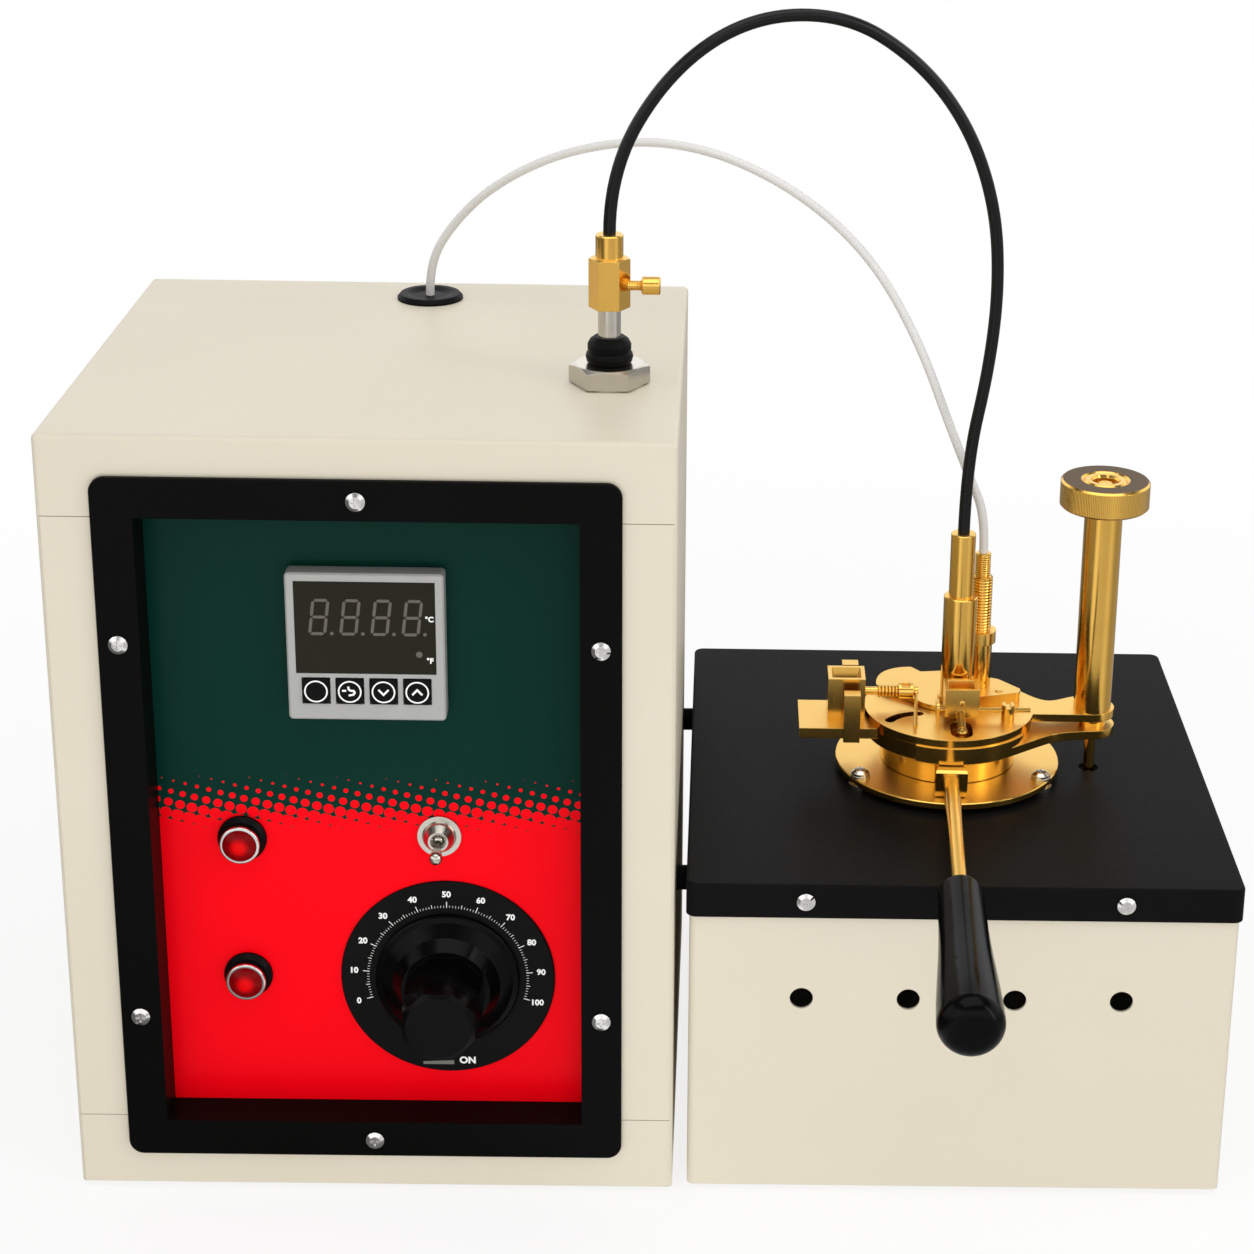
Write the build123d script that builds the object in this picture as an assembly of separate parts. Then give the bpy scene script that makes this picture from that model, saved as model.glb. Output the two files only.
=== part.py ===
from build123d import *
import math
import os

# Closed-cup flash point tester: a control cabinet and a heater box joined side by side,
# with the brass test cup and its mechanical cover on the heater box.
# Millimetres, +Z up, front faces -Y. Origin at the middle of the footprint, on the bench.

# --- Driving dimensions ---
sheet = 1.5                # sheet metal of both boxes
bend_radius = 2.5          # outside bend of the cabinet sheets
foot_height = 3.0
foot_radius = 9.0
foot_inset = 22.0
box_gap = 7.0              # between the two boxes
front_step = 3.0           # heater box stands back from the cabinet front

cabinet_width = 285.0
cabinet_depth = 265.0
cabinet_height = 380.0
upper_seam = 345.0         # heights of the seams between the cabinet sheets
lower_seam = 40.0
seam_gap = 0.3
joggle = 16.0              # how far the front and back sheets reach behind the lips
base_flange_height = 20.0

bezel_width = 236.0
bezel_height = 344.0
bezel_side_bar = 19.0
bezel_top_bar = 18.7
bezel_thickness = 3.0
bezel_corner = 7.0
bezel_centre_z = 192.15
skirt_wall = 2.0
skirt_depth = 17.0         # from the cabinet front back to the control panel
skirt_clearance = 0.3
panel_thickness = 2.0
panel_rim = 6.0            # panel reaches this far past the skirt
side_screw_heights = (285.0, 95.4)

screw_shank = 1.9
screw_clearance = 0.1
screw_head_radius = 4.4
screw_head_height = 2.4
screw_length = 9.0

controller_x = 143.5       # from the cabinet's left side
controller_z = 280.3
controller_size = 72.0
controller_corner = 2.0
controller_proud = 9.0
controller_edge = 0.8      # chamfer round the front
controller_body_size = 67.0
controller_body_depth = 75.0
cutout_clearance = 0.3
window_width = 64.0
window_height = 45.1
window_above_centre = 9.55
window_depth = 1.6
window_thickness = 1.2
key_size = 12.4
key_pocket_clearance = 0.3
key_thickness = 3.4
key_proud = 1.0
key_pitch = 15.4
key_below_centre = 21.5
key_travel = 0.6
key_corner = 2.0
key_edge = 0.5
key_stop_gap = 0.2

lamp_x = 81.8
lamp_heights = (179.2, 107.2)
lamp_ring_radius = 11.5
lamp_ring_height = 3.5
lamp_barrel_radius = 9.0
lamp_barrel_height = 7.2
lamp_rim_radius = 9.4
lamp_rim_height = 1.6
lamp_lens_radius = 8.0
lamp_lens_dome = 3.2
lamp_body_radius = 8.0
lamp_body_depth = 26.0

toggle_x = 174.2
toggle_z = 181.6
toggle_washer_radius = 10.3
toggle_washer_height = 1.3
toggle_nut_radius = 8.0
toggle_nut_height = 7.0
toggle_bore = 3.6
toggle_ball_radius = 2.9
toggle_ball_fit = 0.06
toggle_pin_radius = 0.8
toggle_pin_fit = 0.05
toggle_thread_wall = 1.5
toggle_pivot_depth = 4.0   # pivot in front of the panel face
toggle_lever_length = 17.0
toggle_neck_radius = 1.5
toggle_tip_radius = 3.2
toggle_tip_length = 4.4    # round end of the lever
toggle_rest_angle = 12.0   # tip below level
toggle_body_width = 13.0
toggle_body_height = 28.0
toggle_body_depth = 24.0

dial_x = 177.0
dial_z = 107.0
dial_plate_radius = 51.0
dial_plate_thickness = 1.5
knob_gap = 0.3
knob_skirt_radius = 34.3
knob_skirt_edge = 2.4
knob_cone_radius = 21.0
knob_cone_height = 13.0
knob_grip_flats = 37.0
knob_grip_taper = 2.2      # degrees a side
knob_grip_turn = 22.5      # a flat of the grip faces up
knob_height = 46.2
knob_chamfer = 1.6
knob_hub_recess = 8.0
knob_hub_depth = 5.0
dial_shaft_radius = 3.0
dial_shaft_fit = 0.06
dial_shaft_length = 44.0
dial_shaft_in_knob = 30.0
regulator_radius = 40.0
regulator_depth = 35.0
regulator_bush_radius = 5.0
regulator_bush_height = 4.5

grommet_x = 151.0
grommet_y = 233.0
grommet_radius = 17.0
grommet_hole = 12.0
grommet_height = 3.0
grommet_dish = 1.2
grommet_lip = 2.0          # thickness and width of the lip under the sheet
grommet_lip_width = 3.0

inlet_x = 60.0
inlet_z = 75.0
inlet_width = 48.0
inlet_height = 30.0
inlet_flange = 2.5
inlet_recess_width = 24.0
inlet_recess_height = 16.5
inlet_recess_depth = 17.0
inlet_pin_length = 11.5
inlet_pin_width = 2.0
inlet_pin_height = 4.0
inlet_pins = ((-7.0, -2.0), (0.0, 3.0), (7.0, -2.0))
inlet_wall = 2.0
vent_slot_length = 42.0
vent_slot_width = 4.0
vent_slot_pitch = 10.0
vent_slot_count = 8
vent_columns = 3
vent_z = 245.0

drive_inset = 34.3         # drive column, from the cabinet's right side and front
drive_y = 89.0
motor_radius = 24.0
motor_height = 45.0
motor_shaft_seat = 36.0    # depth of the shaft's bore in the motor
gland_flats = 33.2
gland_height = 10.0
gland_neck_radius = 9.5
boot_radius = 11.2
boot_height = 13.0
sleeve_radius = 5.4
sleeve_height = 37.0       # above the cabinet top
motor_shaft_radius = 2.0
shaft_fit = 0.06
coupling_flats = 16.9
coupling_hex_height = 24.0
coupling_collar_radius = 6.5
coupling_collar_height = 11.0
coupling_bore = 2.6
coupling_floor = 2.0
clamp_height = 10.5        # clamp screw above the coupling's lower face
clamp_stem_radius = 2.2
clamp_fit = 0.08
clamp_stem_start = 3.2
clamp_head_start = 15.0
clamp_head_radius = 4.3
clamp_head_length = 8.8

heater_width = 259.0
heater_depth = 280.0
heater_height = 161.4
heater_corner = 3.5
cover_gap = 0.1            # heater cover skirt outside the heater box
cover_drop = 17.0
vent_hole_radius = 5.5
vent_hole_z = 105.5
vent_hole_offsets = (-76.0, -25.3, 25.3, 76.0)
cover_screw_offsets = (-75.0, 75.0)
cover_screw_below_top = 8.3
link_ys = (54.0, 240.0)    # box link bolts, from the cabinet front
link_z = 142.0
link_spacer_radius = 6.0
link_bolt_radius = 3.0
link_fit = 0.05
link_head_radius = 5.0
link_head_height = 4.0

cup_to_back = 149.0        # cup axis to the back of the heater box
bath_hole_radius = 42.0
flange_radius = 57.0
flange_thickness = 3.5
flange_standoff = 2.5
flange_screw_radius = 52.5
flange_screw_angles = (-30.0, 90.0, 210.0)
flange_spacer_radius = 5.5
flange_washer_radius = 4.9
flange_washer_height = 1.0
bath_outer_radius = 40.0
bath_inner_radius = 32.0
bath_floor_z = 118.0
bath_bottom_z = 110.0
band_thickness = 6.0
band_bottom_z = 116.0
band_height = 34.0
band_fit = 0.05
band_split = 8.0
terminal_radius = 3.0
terminal_length = 9.0

cup_bore_radius = 25.4
cup_depth = 56.0
cup_wall = 2.5
cup_floor = 2.5
cup_collar_radius = 34.4
cup_collar_height = 14.2
cup_hole_gap = 0.3
seat_gap = 0.3
handle_angle = 1.8         # plan angle of the handle, towards the cabinet
handle_droop = 4.5
handle_reach = 260.0       # cup axis to the front of the grip
lug_width = 16.0
lug_reach = 50.0
lug_neck = 12.4
handle_rod_radius = 4.0
rod_z_below_rim = 7.0
rod_in_lug = 10.0
grip_start = 147.0
grip_rear_radius = 10.5
grip_front_radius = 15.0
grip_shoulder = 4.0
grip_rod_depth = 45.0

rim_radius = 42.5
rim_proud_radius = 44.0
rim_height = 8.5
plate_radius = 43.0
plate_thickness = 4.2
arm_thickness = 4.5
arm_edge = 9.5
arm_end_radius = 11.5
arm_end_shift = 2.0
arm_waist = (52.0, 7.6)    # back edge where the arm is thinnest, then where it meets the disc
arm_root = 18.5
arm_start = 20.0           # front edge starts inside the disc
arm_curve = ((36.2, -27.5), (43.5, -21.8), (52.0, -16.0), (61.0, -13.0))
kidney_points = ((-31.0, -19.4), (-24.7, -13.2), (-16.0, -10.6))
kidney_width = 5.0
column_x = 73.0            # column axis from the cup axis
boss_radius = 7.0
column_radius = 9.5
column_bore = 5.2
column_height = 108.5
spindle_radius = 4.9
journal_radius = 2.8
journal_fit = 0.08
journal_bottom_z = 163.0
pin_hole_radius = 5.0
knob_radius = 22.2
knob_thickness = 14.0
knob_gap_above_column = 0.5
knob_ring_radius = 11.0
knob_recess_radius = 6.5

stirrer_x = 4.0            # stirrer axis from the cup axis
stirrer_y = 2.0
tube_lower_radius = 8.6
tube_upper_radius = 6.25
tube_step_z = 259.2
tube_top_z = 292.5
stirrer_shaft_radius = 2.4
stirrer_fit = 0.06
stirrer_bottom_z = 134.5
stirrer_top_gap = 6.0
propeller_heights = (139.0, 172.0)
propeller_radii = (19.0, 9.5)
blade_width = 8.0
blade_thickness = 1.5
blade_angle = 45.0
propeller_hub_radius = 4.2
propeller_hub_height = 7.0

sensor_x = 15.6            # temperature sensor axis from the cup axis
sensor_y = 14.5
sensor_body_radius = 6.5
sensor_collar_radius = 8.2
sensor_collar_z = 229.5
sensor_collar_height = 6.3
sensor_thread_radius = 5.1
sensor_thread_z = 264.7
sensor_tip_radius = 3.7
sensor_top_z = 277.4
probe_radius = 1.85
probe_fit = 0.05
probe_bottom_z = 144.0
probe_top_z = 268.0
probe_hole_clearance = 0.3

shutter_thickness = 2.5
shutter_gap = 0.3
shutter_fit = 0.08
shutter_hub_radius = 11.8
shutter_angles = (92, 104, 115, 117, 125, 136, 148, 157, 166, 175, 196, 226)
shutter_radii = (36.5, 36.5, 38.0, 45.5, 48.0, 49.0, 46.5, 43.5, 33.0, 24.5, 18.5, 13.0)
carrier_height = 6.0
carrier_hub_radius = 9.8

pivot_y = -16.0            # burner pivot, from the cup axis
pivot_height = 5.0         # above the cover plate
pivot_rod_radius = 1.25
pivot_fit = 0.05
burner_x = 4.6
nozzle_x = 4.1
burner_width = 17.0
burner_front = -23.0
burner_back = -8.3
burner_bottom = 3.9        # above the cover plate
burner_height = 14.6
burner_wall = 2.0
funnel_depth = 10.0
funnel_floor_width = 7.0
funnel_floor_depth = 6.0
nozzle_radius = 2.2
nozzle_ball_radius = 2.8
nozzle_ball_y = -33.9
nozzle_ball_height = 0.6
nozzle_boss_radius = 4.2
nozzle_boss_drop = 2.2
nozzle_slot_width = 11.0
nozzle_slot_front = -39.5
nozzle_slot_back = -19.5
post_x = 28.5
post_radius = 3.3
post_height = 8.2
post_slot_width = 2.4
ear_x = -7.0
ear_thickness = 1.6
ear_width = 9.0
ear_height = 9.5
pivot_rod_end = 39.7

bar_left = -76.5
bar_front = -20.7
bar_back = 14.0
bar_thickness = 5.5
pilot_left = -62.0
pilot_width = 18.7
pilot_front = -10.2
pilot_depth = 17.2
pilot_height = 22.3
pilot_wall = 2.0
clip_left = -54.3
clip_width = 8.2
clip_leg = 6.5
clip_proud = 1.5
clip_foot = 1.6
clip_front_height = 18.5
clip_back_height = 22.0
clip_fit = 0.05
pilot_shaft_y = -1.6
pilot_shaft_height = 8.3   # above the cover plate
pilot_shaft_radius = 2.1
pilot_shaft_fit = 0.06
pilot_shaft_seat = 4.0     # length of the shaft inside the pilot box
spring_start = -36.6
spring_coils = 6
spring_pitch = 1.75
spring_radius = 3.2
ear_collar_radius = 4.4
ear_collar_length = 7.5
ear_gap = 3.0
eye_x = -17.0
eye_radius = 2.7
pilot_rod_radius = 1.0
pilot_tip = (-19.0, -31.0)
pilot_tip_height = 1.3

shaft_cord_radius = 3.0
lead_cord_radius = 2.25

# --- Layout worked out from the dimensions ---
cover_overhang = sheet + cover_gap
overall_width = cabinet_width + box_gap + heater_width + cover_overhang
cabinet_left = -overall_width / 2
cabinet_right = cabinet_left + cabinet_width
heater_left = cabinet_right + box_gap
heater_right = heater_left + heater_width
cup_x = (heater_left + heater_right) / 2
cup_y = (handle_reach - cup_to_back - cover_overhang - screw_head_height) / 2
heater_back = cup_y + cup_to_back
heater_front = heater_back - heater_depth
cabinet_front = heater_front - front_step
cabinet_back = cabinet_front + cabinet_depth
cabinet_top = foot_height + cabinet_height
heater_top = foot_height + heater_height
cover_top = heater_top + cover_gap + sheet
panel_front = cabinet_front + skirt_depth
bezel_x = cabinet_left + cabinet_width / 2

flange_bottom = cover_top + flange_standoff
flange_top = flange_bottom + flange_thickness
collar_bottom = flange_top + seat_gap
cup_rim_z = collar_bottom + cup_collar_height
rim_bottom = cup_rim_z + seat_gap
plate_bottom = rim_bottom + rim_height
plate_top = plate_bottom + plate_thickness
column_top = plate_top + column_height
carrier_top = plate_top + carrier_height
bar_top = plate_bottom
bar_bottom = plate_bottom - bar_thickness
cup_floor_z = cup_rim_z - cup_depth
cup_wall_radius = cup_bore_radius + cup_wall
rod_z = cup_rim_z - rod_z_below_rim
pivot_z = plate_top + pivot_height
pilot_shaft_z = plate_top + pilot_shaft_height

coupling_bottom = cabinet_top + sleeve_height
collar_joint = coupling_bottom + coupling_hex_height
coupling_top = collar_joint + coupling_collar_height

inlet_left = cabinet_left + inlet_x - inlet_recess_width / 2 - inlet_wall
inlet_right = cabinet_left + inlet_x + inlet_recess_width / 2 + inlet_wall
inlet_bottom = inlet_z - inlet_recess_height / 2 - inlet_wall
inlet_top = inlet_z + inlet_recess_height / 2 + inlet_wall

key_xs = [(index - 1.5) * key_pitch for index in range(4)]
key_pocket = key_size + 2 * key_pocket_clearance
key_pocket_depth = key_thickness - key_proud + key_travel + key_stop_gap
toggle_thread_radius = toggle_ball_radius + toggle_ball_fit + toggle_thread_wall

grommet_at = (cabinet_left + grommet_x, cabinet_front + grommet_y)
drive_at = (cabinet_right - drive_inset, cabinet_front + drive_y)
flange_screw_spots = [(flange_screw_radius * math.cos(math.radians(angle)),
                       flange_screw_radius * math.sin(math.radians(angle)))
                      for angle in flange_screw_angles]

os.makedirs("parts", exist_ok=True)


# --- Small helpers ---
standing = (Align.CENTER, Align.CENTER, Align.MIN)


def block(x0, x1, y0, y1, z0, z1):
    # Box between two opposite corners.
    return Pos((x0 + x1) / 2, (y0 + y1) / 2, (z0 + z1) / 2) * Box(x1 - x0, y1 - y0, z1 - z0)


def rod(start, end, radius):
    # Cylinder between two points.
    line = Vector(*end) - Vector(*start)
    return Plane(origin=start, z_dir=line) * Cylinder(radius, line.length, align=standing)


def disc(radius, z0, z1, x=0.0, y=0.0):
    return Pos(x, y, z0) * Cylinder(radius, z1 - z0, align=standing)


def ring(outer, inner, z0, z1, x=0.0, y=0.0):
    return disc(outer, z0, z1, x, y) - disc(inner, z0, z1, x, y)


def turned(*profile):
    # Solid of revolution about Z from (radius, height) points.
    return revolve(make_face(Plane.XZ * Polyline(*profile, close=True)), Axis.Z)


def hexagon(flats, z0, z1, chamfer=1.0):
    # Hexagon bar with its corners turned off at the top, corners on X.
    height = z1 - z0
    bar = extrude(RegularPolygon(flats / 2, 6, major_radius=False, rotation=0), height)
    corner = flats / math.sqrt(3)
    shoulder = height - chamfer
    cone = turned((0, 0), (corner, 0), (corner, shoulder), (corner - 2 * chamfer, height), (0, height))
    return Pos(0, 0, z0) * (bar & cone)


def plate_at(outline, z0, z1):
    # Flat plate of a plan outline.
    return extrude(Plane.XY.offset(z0) * outline, z1 - z0)


def rounded_box(x0, x1, y0, y1, z0, z1, corner):
    return fillet(block(x0, x1, y0, y1, z0, z1).edges().filter_by(Axis.Z), corner)


def on_panel(x, z):
    # Plane on the front of the control panel, its Z pointing at the user.
    return Plane(origin=(cabinet_left + x, panel_front, z), x_dir=(1, 0, 0), z_dir=(0, -1, 0))


def screw(head_radius, head_height, shank, length, head_z=0.0):
    # Pan head screw along Z, head upwards, seated at head_z.
    top = turned((0, 0), (head_radius, 0), (head_radius, head_height * 0.45),
                 (head_radius * 0.6, head_height * 0.9), (0, head_height))
    half = head_radius * 0.5
    slot_half = head_radius * 0.11
    slot = block(-half, half, -slot_half, slot_half, head_height * 0.5, head_height + 1)
    cross = slot + Rot(0, 0, 90) * slot
    return Pos(0, 0, head_z) * (top + disc(shank, -length, 0) - cross)


def save(node, *pieces):
    solids = [solid for piece in pieces for solid in piece.solids()]
    shape = solids[0] if len(solids) == 1 else Compound(children=solids)
    export_step(shape, f"parts/{node}.step")


def cup_place(piece):
    # From coordinates about the cup axis to the instrument's frame.
    return Pos(cup_x, cup_y, 0) * piece


# --- Control cabinet ---
cabinet_inside = (cabinet_left + sheet, cabinet_right - sheet)
aperture_half_width = bezel_width / 2 - bezel_side_bar + skirt_wall + skirt_clearance
aperture_half_height = bezel_height / 2 - bezel_top_bar + skirt_wall + skirt_clearance
cabinet_block = block(cabinet_left, cabinet_right, cabinet_front, cabinet_back, foot_height, cabinet_top)
cabinet_block = fillet(cabinet_block.edges().filter_by(Axis.Z), bend_radius)
cabinet_block = fillet(cabinet_block.faces().sort_by(Axis.Z)[-1].edges(), bend_radius)
aperture = block(bezel_x - aperture_half_width, bezel_x + aperture_half_width, cabinet_front - 1,
                 cabinet_front + 3 * sheet, bezel_centre_z - aperture_half_height,
                 bezel_centre_z + aperture_half_height)

bezel_screw_x = (bezel_width - bezel_side_bar) / 2
bezel_screw_z = (bezel_height - bezel_top_bar) / 2
bezel_screws = [(bezel_x, bezel_centre_z + bezel_screw_z), (bezel_x, bezel_centre_z - bezel_screw_z)]
bezel_screws += [(bezel_x + side * bezel_screw_x, z) for z in side_screw_heights for side in (-1, 1)]


def front_holes(radius):
    depth = bezel_thickness + 4 * sheet
    return Compound(children=[rod((x, cabinet_front - bezel_thickness - 1, z),
                                  (x, cabinet_front - bezel_thickness + depth, z), radius)
                              for x, z in bezel_screws])


def cut_all(body, tools):
    for tool in tools.solids():
        body = body - tool
    return body


def link_holes(radius):
    x0 = cabinet_right - 3 * sheet
    x1 = heater_left + 3 * sheet
    return Compound(children=[rod((x0, cabinet_front + y, link_z), (x1, cabinet_front + y, link_z), radius)
                              for y in link_ys])


def cabinet_cover():
    # Top and sides in one sheet, with lips down the front and back to the upper seam.
    x0, x1 = cabinet_inside
    shell = cabinet_block - block(x0, x1, cabinet_front + sheet, cabinet_back - sheet, 0, cabinet_top - sheet)
    shell = shell - block(x0, x1, cabinet_front - 1, cabinet_back + 1, 0, upper_seam)
    shell = shell - aperture
    shell = shell - disc(grommet_hole, cabinet_top - 2 * sheet, cabinet_top + 1, *grommet_at)
    shell = shell - disc(gland_neck_radius, cabinet_top - 2 * sheet, cabinet_top + 1, *drive_at)
    shell = cut_all(shell, link_holes(link_bolt_radius + link_fit))
    return cut_all(shell, front_holes(screw_shank + screw_clearance))


def cabinet_base():
    # Bottom tray with front and back lips and side flanges inside the cover.
    x0, x1 = cabinet_inside
    top = lower_seam - seam_gap
    tray = cabinet_block & block(x0, x1, cabinet_front, cabinet_back, foot_height, top)
    tray = tray - block(x0, x1, cabinet_front + sheet, cabinet_back - sheet, foot_height + sheet, top + 1)
    for side in (x0, x1 - sheet):
        tray = tray + block(side, side + sheet, cabinet_front + 3 * sheet, cabinet_back - 3 * sheet,
                            foot_height, foot_height + base_flange_height)
    return cut_all(tray - aperture, front_holes(screw_shank + screw_clearance))


def front_fascia():
    # Flush sheet between the seams, with a joggled frame behind the lips.
    x0, x1 = cabinet_inside
    behind = cabinet_front + sheet
    sheet_front = cabinet_block & block(x0, x1, cabinet_front, behind, lower_seam, upper_seam - seam_gap)
    frame = block(x0, x1, behind, behind + sheet, lower_seam - joggle, upper_seam + joggle)
    return cut_all(sheet_front + frame - aperture, front_holes(screw_shank + screw_clearance))


def back_panel():
    # Flush sheet between the seams with vent slots and the inlet cut-out.
    x0, x1 = cabinet_inside
    behind = cabinet_back - sheet
    panel = cabinet_block & block(x0, x1, behind, cabinet_back, lower_seam, upper_seam - seam_gap)
    for z in (lower_seam - joggle, upper_seam - joggle):
        panel = panel + block(x0, x1, behind - sheet, behind, z, z + 2 * joggle)
    slot = Plane.XZ * SlotOverall(vent_slot_length, vent_slot_width)
    cutter = extrude(slot, sheet * 2, both=True)
    for column in range(vent_columns):
        for row in range(vent_slot_count):
            x = bezel_x + (column - (vent_columns - 1) / 2) * (vent_slot_length + 4 * vent_slot_width)
            panel = panel - Pos(x, cabinet_back, vent_z + row * vent_slot_pitch) * cutter
    hole = block(inlet_left, inlet_right, cabinet_back - 3 * sheet, cabinet_back + 1, inlet_bottom, inlet_top)
    return panel - hole


def mains_inlet():
    # Flanged power inlet with a recess and three blades.
    y1 = cabinet_back + inlet_flange
    x = cabinet_left + inlet_x
    floor = y1 - inlet_recess_depth
    flange = block(x - inlet_width / 2, x + inlet_width / 2, cabinet_back, y1,
                   inlet_z - inlet_height / 2, inlet_z + inlet_height / 2)
    flange = fillet(flange.edges().filter_by(Axis.Y), inlet_wall)
    body = flange + block(inlet_left, inlet_right, floor - inlet_wall, cabinet_back, inlet_bottom, inlet_top)
    body = body - block(inlet_left + inlet_wall, inlet_right - inlet_wall, floor, y1,
                        inlet_bottom + inlet_wall, inlet_top - inlet_wall)
    for dx, dz in inlet_pins:
        pin = Pos(x + dx, floor + inlet_pin_length / 2, inlet_z + dz)
        body = body + pin * Box(inlet_pin_width, inlet_pin_length, inlet_pin_height)
    return body


def rubber_feet():
    foot = turned((0, 0), (foot_radius - 1, 0), (foot_radius, 1), (foot_radius, foot_height),
                  (0, foot_height))
    spots = [(x, y) for x in (cabinet_left + foot_inset, cabinet_right - foot_inset)
             for y in (cabinet_front + foot_inset, cabinet_back - foot_inset)]
    spots += [(x, y) for x in (heater_left + foot_inset, heater_right - foot_inset)
              for y in (heater_front + foot_inset, heater_back - foot_inset)]
    return [Pos(x, y, 0) * foot for x, y in spots]


def bezel_frame():
    # Picture-frame flange with a skirt running back to the control panel.
    half_w = bezel_width / 2 - bezel_side_bar
    half_h = bezel_height / 2 - bezel_top_bar
    face = Plane(origin=(bezel_x, cabinet_front, bezel_centre_z), x_dir=(1, 0, 0), z_dir=(0, -1, 0))
    flange = extrude(face * RectangleRounded(bezel_width, bezel_height, bezel_corner), bezel_thickness)
    flange = fillet(flange.faces().sort_by(Axis.Y)[0].edges(), 1.0)
    skirt = extrude(face * Rectangle(2 * (half_w + skirt_wall), 2 * (half_h + skirt_wall)), -skirt_depth)
    window = extrude(face * Rectangle(2 * half_w, 2 * half_h), bezel_thickness + 1)
    window = window + extrude(face * Rectangle(2 * half_w, 2 * half_h), -skirt_depth - 1)
    frame = flange + skirt - window
    return cut_all(frame, front_holes(screw_shank + screw_clearance))


def control_panel():
    width = bezel_width - 2 * bezel_side_bar + 2 * (skirt_wall + panel_rim)
    height = bezel_height - 2 * bezel_top_bar + 2 * (skirt_wall + panel_rim)
    panel = block(bezel_x - width / 2, bezel_x + width / 2, panel_front, panel_front + panel_thickness,
                  bezel_centre_z - height / 2, bezel_centre_z + height / 2)
    cutout = controller_body_size / 2 + cutout_clearance
    panel = panel - extrude(on_panel(controller_x, controller_z) * Rectangle(2 * cutout, 2 * cutout),
                            -2 * panel_thickness)
    for z in lamp_heights:
        panel = panel - on_panel(lamp_x, z) * disc(lamp_body_radius, -2 * panel_thickness, 1)
    panel = panel - on_panel(toggle_x, toggle_z) * disc(toggle_thread_radius, -2 * panel_thickness, 1)
    return panel - on_panel(dial_x, dial_z) * disc(regulator_bush_radius, -2 * panel_thickness, 1)


def screws():
    # Bezel screws and heater cover screws.
    heads = []
    for x, z in bezel_screws:
        at = Plane(origin=(x, cabinet_front - bezel_thickness, z), x_dir=(1, 0, 0), z_dir=(0, -1, 0))
        heads.append(at * screw(screw_head_radius, screw_head_height, screw_shank, screw_length))
    for offset in cover_screw_offsets:
        for y, way in ((heater_front - cover_overhang, -1), (heater_back + cover_overhang, 1)):
            at = Plane(origin=(cup_x + offset, y, cover_top - cover_screw_below_top), x_dir=(1, 0, 0),
                       z_dir=(0, way, 0))
            heads.append(at * screw(screw_head_radius, screw_head_height, screw_shank, screw_length))
    return heads


# --- Panel fittings ---
def window_block(z0, z1):
    # The display window's outline between two heights above the panel.
    z = window_above_centre
    return block(-window_width / 2, window_width / 2, z - window_height / 2, z + window_height / 2, z0, z1)


def controller_case():
    at = on_panel(controller_x, controller_z)
    outline = RectangleRounded(controller_size, controller_size, controller_corner)
    front = extrude(at * outline, controller_proud)
    front = chamfer(front.faces().sort_by(Axis.Y)[0].edges(), controller_edge)
    body = extrude(at * Rectangle(controller_body_size, controller_body_size), -controller_body_depth)
    case = front + body - at * window_block(controller_proud - window_depth, controller_proud + 1)
    half = key_pocket / 2
    for x in key_xs:
        pocket = block(x - half, x + half, -key_below_centre - half, -key_below_centre + half,
                       controller_proud - key_pocket_depth, controller_proud + 1)
        case = case - at * pocket
    return case


def controller_window():
    floor = controller_proud - window_depth
    return on_panel(controller_x, controller_z) * window_block(floor, floor + window_thickness)


def controller_key(x):
    top = controller_proud + key_proud
    half = key_size / 2
    key = block(x - half, x + half, -key_below_centre - half, -key_below_centre + half,
                top - key_thickness, top)
    key = fillet(key.edges().filter_by(Axis.Z), key_corner)
    key = fillet(key.faces().sort_by(Axis.Z)[-1].edges(), key_edge)
    return on_panel(controller_x, controller_z) * key


def lamp_bodies():
    body = turned((0, -lamp_body_depth), (lamp_body_radius, -lamp_body_depth), (lamp_body_radius, 0),
                  (lamp_ring_radius, 0), (lamp_ring_radius, lamp_ring_height * 0.45),
                  (lamp_barrel_radius + 0.6, lamp_ring_height), (lamp_barrel_radius, lamp_ring_height),
                  (lamp_barrel_radius, lamp_barrel_height), (0, lamp_barrel_height))
    return [on_panel(lamp_x, z) * body for z in lamp_heights]


def lamp_rims():
    rim = ring(lamp_rim_radius, lamp_lens_radius, lamp_barrel_height, lamp_barrel_height + lamp_rim_height)
    rim = fillet(rim.faces().sort_by(Axis.Z)[-1].edges().sort_by(Edge.radius)[-1], 0.7)
    return [on_panel(lamp_x, z) * rim for z in lamp_heights]


def lamp_lenses():
    sphere_radius = (lamp_lens_radius ** 2 + lamp_lens_dome ** 2) / (2 * lamp_lens_dome)
    straight = lamp_rim_height * 0.8
    dome = disc(lamp_lens_radius, 0, straight + lamp_lens_dome)
    dome = dome & (Pos(0, 0, straight + lamp_lens_dome - sphere_radius) * Sphere(sphere_radius))
    return [on_panel(lamp_x, z) * Pos(0, 0, lamp_barrel_height) * dome for z in lamp_heights]


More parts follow.
